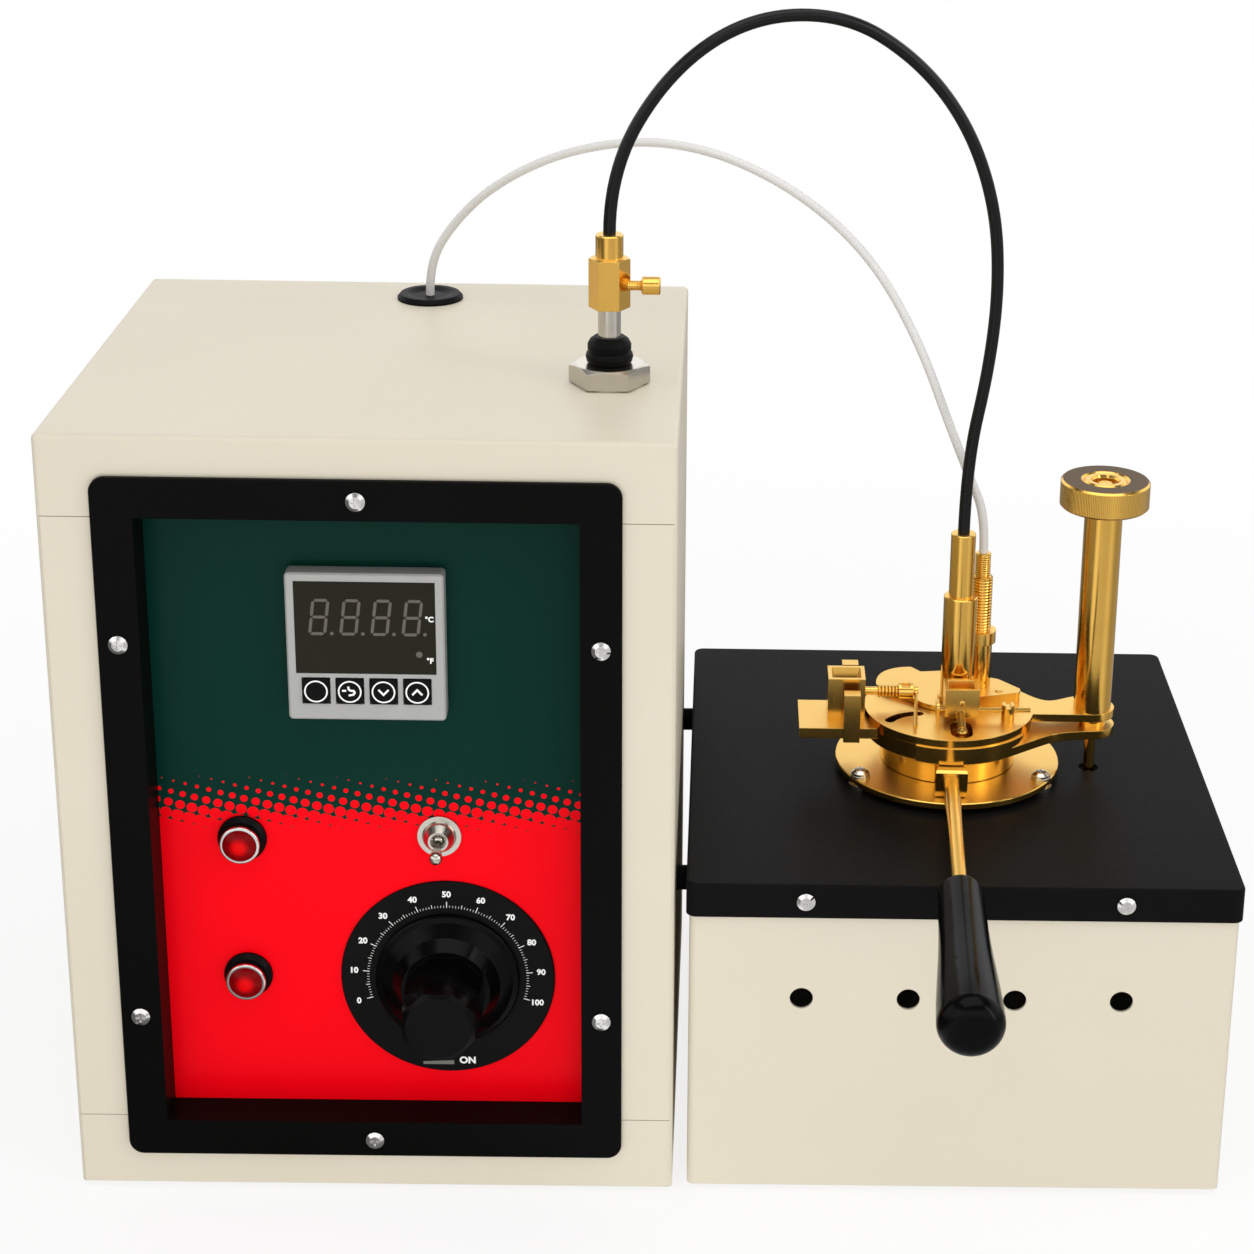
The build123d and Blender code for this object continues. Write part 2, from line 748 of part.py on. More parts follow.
def toggle_switch():
    # Switch body behind the panel with its threaded bush, washer and domed nut.
    half_width = toggle_body_width / 2
    half_height = toggle_body_height / 2
    body = block(-half_width, half_width, -half_height, half_height,
                 -panel_thickness - toggle_body_depth, -panel_thickness)
    front = turned((0, -panel_thickness), (toggle_thread_radius, -panel_thickness), (toggle_thread_radius, 0),
                   (toggle_washer_radius, 0), (toggle_washer_radius, toggle_washer_height),
                   (toggle_nut_radius, toggle_washer_height),
                   (toggle_nut_radius - 0.8, toggle_washer_height + 2.2),
                   (toggle_bore + 1.2, toggle_nut_height), (0, toggle_nut_height))
    socket = toggle_ball_radius + toggle_ball_fit
    bore = disc(toggle_bore, toggle_pivot_depth, toggle_nut_height + 1)
    well = disc(socket, toggle_pivot_depth - toggle_ball_radius - 1, toggle_pivot_depth + 0.5)
    pin = rod((-toggle_thread_radius, 0, toggle_pivot_depth), (toggle_thread_radius, 0, toggle_pivot_depth),
              toggle_pin_radius)
    return on_panel(toggle_x, toggle_z) * (body + front - bore - well + pin)


def toggle_lever():
    # Ball cross drilled for its pin, thin neck and flared round tip.
    reach = toggle_lever_length
    flare = reach - toggle_tip_length
    lever = Sphere(toggle_ball_radius) + turned(
        (0, 0), (toggle_neck_radius, 0), (toggle_neck_radius, reach * 0.35),
        (toggle_tip_radius * 0.94, flare), (toggle_tip_radius, reach - toggle_tip_radius),
        (0, reach - toggle_tip_radius))
    lever = lever + Pos(0, 0, reach - toggle_tip_radius) * Sphere(toggle_tip_radius)
    lever = lever - rod((-toggle_ball_radius, 0, 0), (toggle_ball_radius, 0, 0),
                        toggle_pin_radius + toggle_pin_fit)
    return on_panel(toggle_x, toggle_z) * Pos(0, 0, toggle_pivot_depth) * Rot(toggle_rest_angle, 0, 0) * lever


def dial_plate():
    plate = ring(dial_plate_radius, regulator_bush_radius, 0, dial_plate_thickness)
    plate = chamfer(plate.faces().sort_by(Axis.Z)[-1].edges().sort_by(Edge.radius)[-1], 0.6)
    return on_panel(dial_x, dial_z) * plate


def dial_knob():
    # Round skirt, hollow cone and a tapered eight-sided grip.
    base = dial_plate_thickness + knob_gap
    edge = base + knob_skirt_edge
    cone_top = base + knob_cone_height
    top = base + knob_height
    skirt = turned((0, base), (knob_skirt_radius, base), (knob_skirt_radius, edge - 0.6),
                   (knob_skirt_radius - 0.8, edge), (knob_skirt_radius - 3, edge + 0.8),
                   (knob_cone_radius + 4.5, cone_top - 5.5), (knob_cone_radius, cone_top), (0, cone_top))
    octagon = RegularPolygon(knob_grip_flats / 2, 8, major_radius=False, rotation=knob_grip_turn)
    grip = Pos(0, 0, edge) * extrude(octagon, top - edge, taper=knob_grip_taper)
    tip = knob_grip_flats / 2 - (top - edge) * math.tan(math.radians(knob_grip_taper))
    corner = tip / math.cos(math.pi / 8)
    grip = grip & turned((0, edge), (knob_grip_flats, edge), (corner + knob_chamfer, top - 2 * knob_chamfer),
                         (tip - knob_chamfer, top), (0, top))
    knob = skirt + grip
    knob = knob - disc(knob_hub_recess, base, base + knob_hub_depth)
    knob = knob - disc(dial_shaft_radius, base, dial_plate_thickness + dial_shaft_in_knob)
    return on_panel(dial_x, dial_z) * knob


def dial_shaft():
    top = dial_plate_thickness + dial_shaft_in_knob
    return on_panel(dial_x, dial_z) * disc(dial_shaft_radius, top - dial_shaft_length, top)


def regulator_body():
    # Round regulator behind the panel with a bush for the dial shaft.
    shaft_bottom = dial_plate_thickness + dial_shaft_in_knob - dial_shaft_length
    body = disc(regulator_radius, -panel_thickness - regulator_depth, -panel_thickness)
    body = body + disc(regulator_bush_radius, -panel_thickness, regulator_bush_height)
    return on_panel(dial_x, dial_z) * (body - disc(dial_shaft_radius + dial_shaft_fit, shaft_bottom - 0.3,
                                                   regulator_bush_height + 1))


# --- Cabinet top ---
def cable_grommet():
    # Rubber grommet snapped into the cabinet top, dished round the lead.
    edge = grommet_radius
    inner = grommet_hole + grommet_lip_width
    dish = grommet_height - grommet_dish
    profile = turned((0, -sheet - grommet_lip), (inner, -sheet - grommet_lip), (inner, -sheet),
                     (grommet_hole, -sheet), (grommet_hole, 0), (edge, 0), (edge, grommet_height * 0.4),
                     (edge - 1.6, grommet_height), (edge - 4.5, grommet_height), (edge - 9, dish), (0, dish))
    return Pos(*grommet_at, cabinet_top) * profile


def at_drive(piece):
    return Pos(*drive_at, 0) * piece


def stirrer_motor():
    top = cabinet_top - sheet
    body = disc(motor_radius, top - motor_height, top)
    return at_drive(body - disc(motor_shaft_radius + shaft_fit, top - motor_shaft_seat, top))


def motor_shaft():
    bottom = cabinet_top - sheet - motor_shaft_seat + seat_gap
    return at_drive(disc(motor_shaft_radius, bottom, coupling_top - coupling_floor - 1))


def gland_nut():
    # Hexagon gland with a round foot and a neck through the cabinet top.
    nut = hexagon(gland_flats, cabinet_top + 0.8, cabinet_top + gland_height, 1.6)
    nut = nut + disc(gland_flats / 2 - 0.5, cabinet_top, cabinet_top + 0.8)
    nut = nut + disc(gland_neck_radius, cabinet_top - sheet, cabinet_top)
    return at_drive(nut - disc(sleeve_radius, cabinet_top - sheet, cabinet_top + gland_height))


def rubber_boot():
    # Two rolls of rubber round the sleeve.
    z = cabinet_top + gland_height
    inner = sleeve_radius
    rolls = turned((inner, 0), (boot_radius - 1.4, 0), (boot_radius - 0.5, 1.2), (boot_radius, 3.2),
                   (boot_radius - 0.4, 5.0), (boot_radius - 1.2, 5.8), (boot_radius - 0.9, 7.0),
                   (boot_radius - 0.9, 9.2), (boot_radius - 2.0, 11.4), (sleeve_radius + 1.6, boot_height),
                   (inner, boot_height))
    return at_drive(Pos(0, 0, z) * rolls)


def steel_sleeve():
    return at_drive(ring(sleeve_radius, motor_shaft_radius + shaft_fit, cabinet_top - sheet, coupling_bottom))


def drive_coupling():
    # Hexagon coupling with a round collar, bored for the shaft and cross drilled.
    hexagon_part = hexagon(coupling_flats, coupling_bottom, collar_joint, 0.9)
    collar = disc(coupling_collar_radius, collar_joint, coupling_top)
    collar = chamfer(collar.faces().sort_by(Axis.Z)[-1].edges(), 0.5)
    body = hexagon_part + collar - disc(coupling_bore, coupling_bottom, coupling_top - coupling_floor)
    z = coupling_bottom + clamp_height
    return at_drive(body - rod((0, 0, z), (coupling_flats, 0, z), clamp_stem_radius + clamp_fit))


def clamp_screw():
    z = coupling_bottom + clamp_height
    stem = rod((clamp_stem_start, 0, z), (clamp_head_start, 0, z), clamp_stem_radius)
    head = rod((clamp_head_start, 0, z), (clamp_head_start + clamp_head_length, 0, z), clamp_head_radius)
    head = chamfer(head.edges().filter_by(GeomType.CIRCLE), 0.6)
    return at_drive(stem + head)


# --- Heater box ---
def heater_body():
    box = rounded_box(heater_left, heater_right, heater_front, heater_back, foot_height, heater_top,
                      heater_corner)
    box = box - rounded_box(heater_left + sheet, heater_right - sheet, heater_front + sheet,
                            heater_back - sheet, foot_height + sheet, heater_top + 1, heater_corner - sheet)
    for offset in vent_hole_offsets:
        x = cup_x + offset
        box = box - rod((x, heater_front - 1, vent_hole_z), (x, heater_back + 1, vent_hole_z),
                        vent_hole_radius)
    box = cut_all(box, link_holes(link_bolt_radius + link_fit))
    return cut_all(box, cover_screw_holes())


def cover_screw_holes():
    z = cover_top - cover_screw_below_top
    reach = 3 * cover_overhang
    return Compound(children=[rod((cup_x + dx, y - reach, z), (cup_x + dx, y + reach, z),
                                  screw_shank + screw_clearance)
                              for dx in cover_screw_offsets for y in (heater_front, heater_back)])


def heater_cover():
    # Black lid with a down-turned skirt outside the heater box.
    out = cover_overhang
    lid = rounded_box(heater_left - out, heater_right + out, heater_front - out, heater_back + out,
                      cover_top - cover_drop, cover_top, heater_corner + out)
    lid = fillet(lid.faces().sort_by(Axis.Z)[-1].edges(), 1.2)
    lid = lid - rounded_box(heater_left - cover_gap, heater_right + cover_gap, heater_front - cover_gap,
                            heater_back + cover_gap, 0, heater_top + cover_gap, heater_corner + cover_gap)
    lid = lid - disc(bath_hole_radius, heater_top, cover_top + 1, cup_x, cup_y)
    lid = lid - disc(pin_hole_radius, heater_top, cover_top + 1, cup_x + column_x, cup_y)
    for x, y in flange_screw_spots:
        lid = lid - disc(screw_shank + screw_clearance, heater_top, cover_top + 1, cup_x + x, cup_y + y)
    return cut_all(lid, cover_screw_holes())


def link_bolts():
    # Bolts with spacers between the two boxes.
    pieces = []
    left = cabinet_right - sheet
    right = heater_left + sheet
    for y in link_ys:
        at = (cabinet_front + y, link_z)
        spacer = rod((cabinet_right, *at), (heater_left, *at), link_spacer_radius)
        hole = rod((cabinet_right, *at), (heater_left, *at), link_bolt_radius)
        bolt = rod((left, *at), (right, *at), link_bolt_radius)
        bolt = bolt + rod((left - link_head_height, *at), (left, *at), link_head_radius)
        bolt = bolt + rod((right, *at), (right + link_head_height, *at), link_head_radius)
        pieces += [spacer - hole, bolt]
    return pieces


def base_flange():
    flange = ring(flange_radius, cup_bore_radius + cup_wall + cup_hole_gap, flange_bottom, flange_top)
    flange = chamfer(flange.edges().filter_by(GeomType.CIRCLE).sort_by(Edge.radius)[-2:], 0.4)
    for x, y in flange_screw_spots:
        flange = flange - disc(screw_shank + screw_clearance, flange_bottom, flange_top, x, y)
    return cup_place(flange)


def flange_screws():
    pieces = []
    for x, y in flange_screw_spots:
        body = screw(screw_head_radius, screw_head_height * 1.2, screw_shank, screw_length * 1.2,
                     flange_top + flange_washer_height)
        body = body + ring(flange_washer_radius, screw_shank, flange_top, flange_top + flange_washer_height)
        pieces.append(cup_place(Pos(x, y, 0) * body))
        spacer = ring(flange_spacer_radius, screw_shank + screw_clearance, cover_top, flange_bottom, x, y)
        pieces.append(cup_place(spacer))
    return pieces


def air_bath():
    return cup_place(disc(bath_outer_radius, bath_bottom_z, flange_bottom)
                     - disc(bath_inner_radius, bath_floor_z, flange_bottom))


def heater_band():
    # Clamp band round the air bath with two terminals.
    inner = bath_outer_radius + band_fit
    outer = inner + band_thickness
    top = band_bottom_z + band_height
    band = ring(outer, inner, band_bottom_z, top)
    band = band - block(-band_split / 2, band_split / 2, 0, outer + 1, band_bottom_z, top)
    for side in (-1, 1):
        x = side * (band_split / 2 + 2 * terminal_radius)
        for z in (band_bottom_z + band_height / 4, top - band_height / 4):
            band = band + rod((x, outer - 3, z), (x, outer + terminal_length, z), terminal_radius)
    return cup_place(band)


# --- Test cup ---
def cup_side(piece):
    # From the cup's own axes, handle along -Y, to the instrument's frame.
    return cup_place(Rot(0, 0, -handle_angle) * piece)


def rod_point(reach):
    drop = (reach - lug_reach) * math.tan(math.radians(handle_droop))
    return (0, -reach, rod_z - drop)


def test_cup():
    # Thin-walled cup with a thick collar and a waisted lug for the handle.
    cup = turned((0, cup_floor_z - cup_floor), (cup_wall_radius, cup_floor_z - cup_floor),
                 (cup_wall_radius, collar_bottom), (cup_collar_radius, collar_bottom),
                 (cup_collar_radius, cup_rim_z), (0, cup_rim_z))
    half = lug_width / 2
    root = cup_collar_radius - 2
    waist = ((root + lug_reach) / 2, lug_neck / 2)
    outline = make_face([Line((half, -root), (-half, -root)),
                         ThreePointArc((-half, -root), (-waist[1], -waist[0]), (-half, -lug_reach)),
                         Line((-half, -lug_reach), (half, -lug_reach)),
                         ThreePointArc((half, -lug_reach), (waist[1], -waist[0]), (half, -root))])
    lug = plate_at(outline, collar_bottom + 0.3, cup_rim_z - 0.3)
    lug = chamfer(lug.faces().sort_by(Axis.Y)[0].edges().sort_by(Axis.Z)[-1], 1.2)
    cup = cup + lug - disc(cup_bore_radius, cup_floor_z, cup_rim_z)
    return cup_side(cup - rod(rod_point(lug_reach - rod_in_lug), rod_point(lug_reach + 5), handle_rod_radius))


def handle_rod():
    return cup_side(rod(rod_point(lug_reach - rod_in_lug), rod_point(grip_start + grip_rod_depth),
                        handle_rod_radius))


def handle_grip():
    # Tapered moulded grip with rounded ends.
    droop = math.radians(handle_droop)
    start = rod_point(grip_start)
    nose = grip_front_radius * 0.62
    swing = math.cos(math.radians(handle_angle))
    facing = math.cos(droop) * swing
    end_lean = (grip_front_radius - nose) * math.sqrt(1 - facing ** 2)
    length = (handle_reach - end_lean - grip_start * swing) / facing
    outline = [Line((0, 0), (grip_rear_radius - grip_shoulder, 0)),
               ThreePointArc((grip_rear_radius - grip_shoulder, 0),
                             (grip_rear_radius - grip_shoulder * 0.29, grip_shoulder * 0.29),
                             (grip_rear_radius, grip_shoulder)),
               Spline((grip_rear_radius, grip_shoulder), (grip_rear_radius + 1.6, length * 0.45),
                      (grip_front_radius, length - nose), tangents=((0.03, 1), (0.02, 1))),
               ThreePointArc((grip_front_radius, length - nose),
                             (grip_front_radius - nose * 0.29, length - nose * 0.29),
                             (grip_front_radius - nose, length)),
               Line((grip_front_radius - nose, length), (0, length)),
               Line((0, length), (0, 0))]
    grip = revolve(make_face([Plane.XZ * edge for edge in outline]), Axis.Z)
    grip = grip - disc(handle_rod_radius, 0, grip_rod_depth / math.cos(droop))
    along = Vector(0, -math.cos(droop), -math.sin(droop))
    return cup_side(Plane(origin=start, x_dir=(1, 0, 0), z_dir=along) * grip)


# --- Cover ---
def arm_outline(front_edge, disc_radius, s_curve):
    # Disc, waisted arm and round end at the column, as one plan outline.
    shift = 0.0 if s_curve else arm_end_shift
    tip = shift - arm_end_radius
    tail = shift + arm_end_radius
    back = Spline((column_x, tail), (column_x - 0.7 * arm_end_radius, tail - 0.3), arm_waist,
                  (disc_radius * 0.9, arm_root), (disc_radius * 0.72, disc_radius * 0.62))
    if s_curve:
        front = Spline((arm_start, arm_start / 4 - disc_radius), *arm_curve, (column_x, tip))
    else:
        front = Line((arm_start, front_edge), (column_x, front_edge))
    end = ThreePointArc(front @ 1, (column_x + arm_end_radius, shift), (column_x, tail))
    return make_face([front, end, back, Line(back @ 1, (0, 0)), Line((0, 0), front @ 0)])


def kidney(bottom, top):
    # Curved slot through the cover, left of the burner.
    return plate_at(SlotArc(ThreePointArc(*kidney_points), kidney_width), bottom, top)


def dip_slot(bottom, top):
    middle = (nozzle_slot_front + nozzle_slot_back) / 2
    slot = SlotOverall(nozzle_slot_back - nozzle_slot_front, nozzle_slot_width, rotation=90)
    return plate_at(Pos(nozzle_x, middle) * slot, bottom, top)


def cover_bores(piece, bottom, top):
    # Clearance for the stirrer, the probe and the column's journal.
    piece = piece - disc(stirrer_shaft_radius + probe_hole_clearance, bottom, top, stirrer_x, stirrer_y)
    piece = piece - disc(probe_radius + probe_hole_clearance, bottom, top, sensor_x, sensor_y)
    return piece - disc(journal_radius + journal_fit, bottom, top, column_x, 0)


def cover_rim():
    # Thick lower disc with the S-shaped lower arm and its boss.
    rim = disc(rim_radius, rim_bottom, plate_bottom)
    proud = disc(rim_proud_radius, rim_bottom, plate_bottom)
    proud = proud & block(-19.0, rim_proud_radius, -rim_proud_radius, -25.0, rim_bottom, plate_bottom)
    arm = plate_at(arm_outline(0, rim_proud_radius, True), rim_bottom, rim_bottom + arm_thickness)
    rim = rim + proud + arm + disc(boss_radius, rim_bottom, plate_bottom, column_x, 0)
    rim = cover_bores(rim, rim_bottom, plate_bottom)
    rim = rim - dip_slot(rim_bottom, plate_bottom)
    return cup_place(rim - kidney(rim_bottom, plate_bottom))


def cover_plate():
    # Upper plate with a straight arm carrying the column.
    plate = disc(plate_radius, plate_bottom, plate_top)
    plate = plate + plate_at(arm_outline(-arm_edge, plate_radius, False), plate_bottom, plate_top)
    plate = cover_bores(plate, plate_bottom, plate_top)
    plate = plate - dip_slot(plate_bottom, plate_top)
    return cup_place(plate - kidney(plate_bottom, plate_top))


def column_tube():
    return cup_place(ring(column_radius, column_bore, plate_top, column_top, column_x, 0))


def spindle_knob():
    # Knurled-edge knob with a raised ring round its screw.
    z = column_top + knob_gap_above_column
    top = knob_thickness
    groove = knob_ring_radius
    well = knob_recess_radius
    knob = turned((0, 0), (knob_radius - 1, 0), (knob_radius, 1), (knob_radius, top - 1),
                  (knob_radius - 1, top), (groove + 1.2, top), (groove, top - 1.2), (groove - 1.2, top),
                  (well + 1, top), (well, top - 1.5), (well, top - 3.5), (4.0, top - 3.5), (3.4, top - 1.8),
                  (0, top - 1.8))
    knob = knob - disc(spindle_radius, 0, knob_thickness / 2)
    return cup_place(Pos(column_x, 0, z) * knob)


def spindle_rod():
    shoulder = plate_top + seat_gap
    upper = disc(spindle_radius, shoulder, column_top + knob_gap_above_column + knob_thickness / 2)
    return cup_place(Pos(column_x, 0, 0) * (upper + disc(journal_radius, journal_bottom_z, shoulder)))


def carrier_plate():
    # Raised plate that holds the sensor and spans the shutter hub.
    outline = make_face(Polyline((stirrer_x, -5.6), (36.0, 3.6), (37.2, 8.2), (26.8, 20.6), (16.5, 25.0),
                                 (2.0, 15.0), close=True))
    outline = fillet(outline.vertices().sort_by(Axis.X)[-2:], 2.2)
    hub = disc(carrier_hub_radius, plate_top, carrier_top, stirrer_x, stirrer_y)
    plate = plate_at(outline, plate_top, carrier_top) + hub
    under = plate_top + shutter_thickness + 2 * shutter_gap
    plate = plate - disc(shutter_hub_radius + shutter_gap, plate_top, under, stirrer_x, stirrer_y)
    plate = plate - block(-20, stirrer_x, -20, 30, plate_top, under)
    plate = plate - disc(tube_lower_radius, plate_top, carrier_top, stirrer_x, stirrer_y)
    plate = plate - disc(probe_radius + probe_hole_clearance, plate_top, carrier_top, sensor_x, sensor_y)
    return cup_place(plate)


def stirrer_tube():
    bore = stirrer_shaft_radius + stirrer_fit
    tube = turned((bore, plate_top), (tube_lower_radius, plate_top), (tube_lower_radius, tube_step_z - 0.5),
                  (tube_lower_radius - 0.5, tube_step_z), (tube_upper_radius, tube_step_z),
                  (tube_upper_radius, tube_top_z - 0.4), (tube_upper_radius - 0.4, tube_top_z),
                  (bore, tube_top_z))
    return cup_place(Pos(stirrer_x, stirrer_y, 0) * tube)


def stirrer_shaft():
    # Shaft with a small upper and a large lower two-bladed propeller.
    shaft = disc(stirrer_shaft_radius, stirrer_bottom_z, tube_top_z - stirrer_top_gap)
    for z, radius in zip(propeller_heights, propeller_radii):
        hub = disc(propeller_hub_radius, z - propeller_hub_height / 2, z + propeller_hub_height / 2)
        shaft = shaft + hub
        for side in (0, 180):
            blade = block(stirrer_shaft_radius, radius, -blade_thickness / 2, blade_thickness / 2,
                          -blade_width / 2, blade_width / 2)
            blade = Rot(0, 0, side) * Rot(blade_angle, 0, 0) * blade
            shaft = shaft + (Pos(0, 0, z) * blade & disc(radius, z - blade_width, z + blade_width))
    return cup_place(Pos(stirrer_x, stirrer_y, 0) * shaft)


def sensor_ferrule():
    # Stepped holder with two threaded ends.
    collar_top = sensor_collar_z + sensor_collar_height
    body = turned((0, carrier_top), (sensor_body_radius, carrier_top), (sensor_body_radius, sensor_collar_z),
                  (sensor_collar_radius, sensor_collar_z), (sensor_collar_radius, collar_top),
                  (sensor_thread_radius, collar_top), (sensor_thread_radius, sensor_thread_z),
                  (sensor_tip_radius, sensor_thread_z), (sensor_tip_radius, sensor_top_z), (0, sensor_top_z))
    bore = disc(probe_radius + probe_fit, carrier_top, probe_top_z)
    return cup_place(Pos(sensor_x, sensor_y, 0) * (body - bore))


def sensor_probe():
    return cup_place(disc(probe_radius, probe_bottom_z, probe_top_z, sensor_x, sensor_y))


def shutter_plate():
    # Hub ring round the stirrer tube with the cam-shaped sector on its left.
    z0 = plate_top + shutter_gap
    points = [(radius * math.cos(math.radians(angle)), radius * math.sin(math.radians(angle)))
              for angle, radius in zip(shutter_angles, shutter_radii)]
    back = ThreePointArc(points[0], points[1], points[2])
    cam = Spline(*points[3:8])
    under = Spline(*points[7:])
    outline = make_face([Line((0, 0), points[0]), back, Line(points[2], points[3]), cam, under,
                         Line(points[-1], (0, 0))])
    z1 = z0 + shutter_thickness
    plate = plate_at(outline, z0, z1) + disc(shutter_hub_radius, z0, z1)
    plate = plate - disc(tube_lower_radius + shutter_fit, z0, z1)
    return cup_place(Pos(stirrer_x, stirrer_y, 0) * plate)


def funnel(width, depth, top, wall):
    # Tapered well cut from the top of a burner box.
    upper = Plane.XY.offset(top) * Rectangle(width - 2 * wall, depth - 2 * wall)
    lower = Plane.XY.offset(top - funnel_depth) * Rectangle(funnel_floor_width, funnel_floor_depth)
    return loft([lower, upper])


def flame_box():
    # Tilting burner: funnel box, nozzle down to its ball tip and the pivot rods.
    z0 = plate_top + burner_bottom
    top = z0 + burner_height
    x0 = burner_x - burner_width / 2
    depth = burner_back - burner_front
    box = block(x0, x0 + burner_width, burner_front, burner_back, z0, top)
    well = funnel(burner_width, depth, top, burner_wall)
    box = box - Pos(burner_x, (burner_front + burner_back) / 2, 0) * well
    ball = (nozzle_x, nozzle_ball_y, plate_top + nozzle_ball_height)
    box = box + disc(nozzle_boss_radius, z0 - nozzle_boss_drop, z0, nozzle_x, pivot_y)
    box = box + rod((nozzle_x, burner_front + 3, z0 + 2.4), ball, nozzle_radius)
    box = box + Pos(*ball) * Sphere(nozzle_ball_radius)
    for start, end in ((ear_x - 1.5, x0 + 1), (x0 + burner_width - 1, pivot_rod_end)):
        box = box + rod((start, pivot_y, pivot_z), (end, pivot_y, pivot_z), pivot_rod_radius)
    return cup_place(box)


def pivot_post():
    # Slotted post and thin ear that carry the burner's pivot rods.
    post = disc(post_radius, plate_top, plate_top + post_height, post_x, pivot_y)
    post = post - block(post_x - post_slot_width / 2, post_x + post_slot_width / 2, pivot_y - post_radius,
                        pivot_y + post_radius, pivot_z + pivot_rod_radius + 0.6, plate_top + post_height)
    ear = block(ear_x - ear_thickness / 2, ear_x + ear_thickness / 2, pivot_y - ear_width / 2,
                pivot_y + ear_width / 2, plate_top, plate_top + ear_height)
    ear = fillet(ear.edges().filter_by(Axis.X).sort_by(Axis.Z)[-2:], 3.0)
    hole = rod((ear_x - ear_width, pivot_y, pivot_z), (pivot_rod_end, pivot_y, pivot_z),
               pivot_rod_radius + pivot_fit)
    return [cup_place(post - hole), cup_place(ear - hole)]


def clip_block(grow=0.0):
    # Square-legged U clip round the bar.
    x0 = clip_left - grow
    x1 = clip_left + clip_width + grow
    low = bar_bottom - clip_foot
    front = bar_front - clip_proud
    back = bar_back + clip_proud
    clip = block(x0, x1, front, front + clip_leg + grow, low, bar_top + clip_front_height)
    clip = clip + block(x0, x1, back - clip_leg - grow, back, low, bar_top + clip_back_height)
    return clip + block(x0, x1, front, back, low, bar_bottom)


def pilot_bar():
    bar = block(bar_left, 0, bar_front, bar_back, bar_bottom, bar_top)
    bar = bar - disc(rim_radius, bar_bottom, bar_top)
    return cup_place(bar - clip_block(clip_fit))


def pilot_box():
    # Fixed burner box with its funnel, and the clip that holds it to the bar.
    top = bar_top + pilot_height
    x = pilot_left + pilot_width / 2
    y = pilot_front + pilot_depth / 2
    box = block(pilot_left, pilot_left + pilot_width, pilot_front, pilot_front + pilot_depth, bar_top, top)
    box = box - Pos(x, y, 0) * funnel(pilot_width, pilot_depth, top, pilot_wall)
    end = pilot_left + pilot_width
    bore_start = end - pilot_shaft_seat - seat_gap
    box = box - rod((bore_start, pilot_shaft_y, pilot_shaft_z), (end + 1, pilot_shaft_y, pilot_shaft_z),
                    pilot_shaft_radius + pilot_shaft_fit)
    return [cup_place(box), cup_place(clip_block())]


def pilot_shaft():
    # Shaft with its coil spring, eared collar, eye and thin lever.
    start = pilot_left + pilot_width - pilot_shaft_seat
    y, z = pilot_shaft_y, pilot_shaft_z
    shaft = rod((start, y, z), (eye_x, y, z), pilot_shaft_radius)
    for coil in range(spring_coils):
        x = spring_start + (coil + 0.5) * spring_pitch
        wire = spring_pitch * 0.46
        shaft = shaft + Plane(origin=(x, y, z), z_dir=(1, 0, 0)) * Torus(spring_radius - wire, wire)
    collar_start = spring_start + spring_coils * spring_pitch
    collar_end = collar_start + ear_collar_length
    collar = rod((collar_start, y, z), (collar_end, y, z), ear_collar_radius)
    notch = block(collar_start + ear_thickness, collar_end - ear_thickness, y - ear_gap, y + ear_gap,
                  z + pilot_shaft_radius + 0.1, z + ear_collar_radius + 1)
    shaft = shaft + (collar - notch)
    eye = rod((eye_x - 0.9, y, z), (eye_x + 0.9, y, z), eye_radius)
    tip = (pilot_tip[0], pilot_tip[1], plate_top + pilot_tip_height)
    return cup_place(shaft + eye + rod((eye_x, y, z), tip, pilot_rod_radius))


# --- Cords ---
tube_at = (cup_x + stirrer_x, cup_y + stirrer_y)
sensor_at = (cup_x + sensor_x, cup_y + sensor_y)
lead_start_z = cabinet_top + grommet_height - grommet_dish

flexible_shaft_route = [
    (*drive_at, coupling_top), (*drive_at, 485.0), (1.0, 9.0, 531.0), (38.0, 15.0, 556.0),
    (82.0, 25.0, 556.0), (117.0, 36.0, 533.0), (142.0, 45.0, 501.0), (157.0, 53.0, 461.0),
    (161.0, 56.0, 420.0), (158.0, 56.0, 378.0), (*tube_at, 330.0), (*tube_at, tube_top_z),
]
sensor_lead_route = [
    (*grommet_at, lead_start_z), (*grommet_at, 402.0), (-113.0, 152.0, 423.0), (-92.0, 150.0, 444.0),
    (-58.0, 143.0, 463.0), (-17.0, 133.0, 473.0), (19.0, 121.0, 471.0), (52.0, 108.0, 460.0),
    (82.0, 95.0, 442.0), (106.0, 83.0, 418.0), (126.0, 73.0, 383.0), (140.0, 68.5, 347.0),
    (152.0, 67.6, 318.0), (*sensor_at, 297.5), (*sensor_at, sensor_top_z),
]


def cord(name, route, radius):
    # Round cord along straight runs joined by the largest tangent arcs that fit.
    points = [Vector(*point) for point in route]
    radii = []
    for before, here, after in zip(points, points[1:], points[2:]):
        turn = math.radians((here - before).get_angle(after - here))
        shorter = min((here - before).length, (after - here).length)
        radii.append(0.45 * shorter / math.tan(turn / 2))
    path = FilletPolyline(*points, radius=radii)
    section = Plane(origin=points[0], z_dir=points[1] - points[0]) * Circle(radius)
    tube = sweep(section, path=path)
    print(name, "length", round(path.length, 1), "radii", [round(value) for value in radii], "volume ratio",
          round(tube.volume / (math.pi * radius ** 2 * path.length), 4))
    return tube


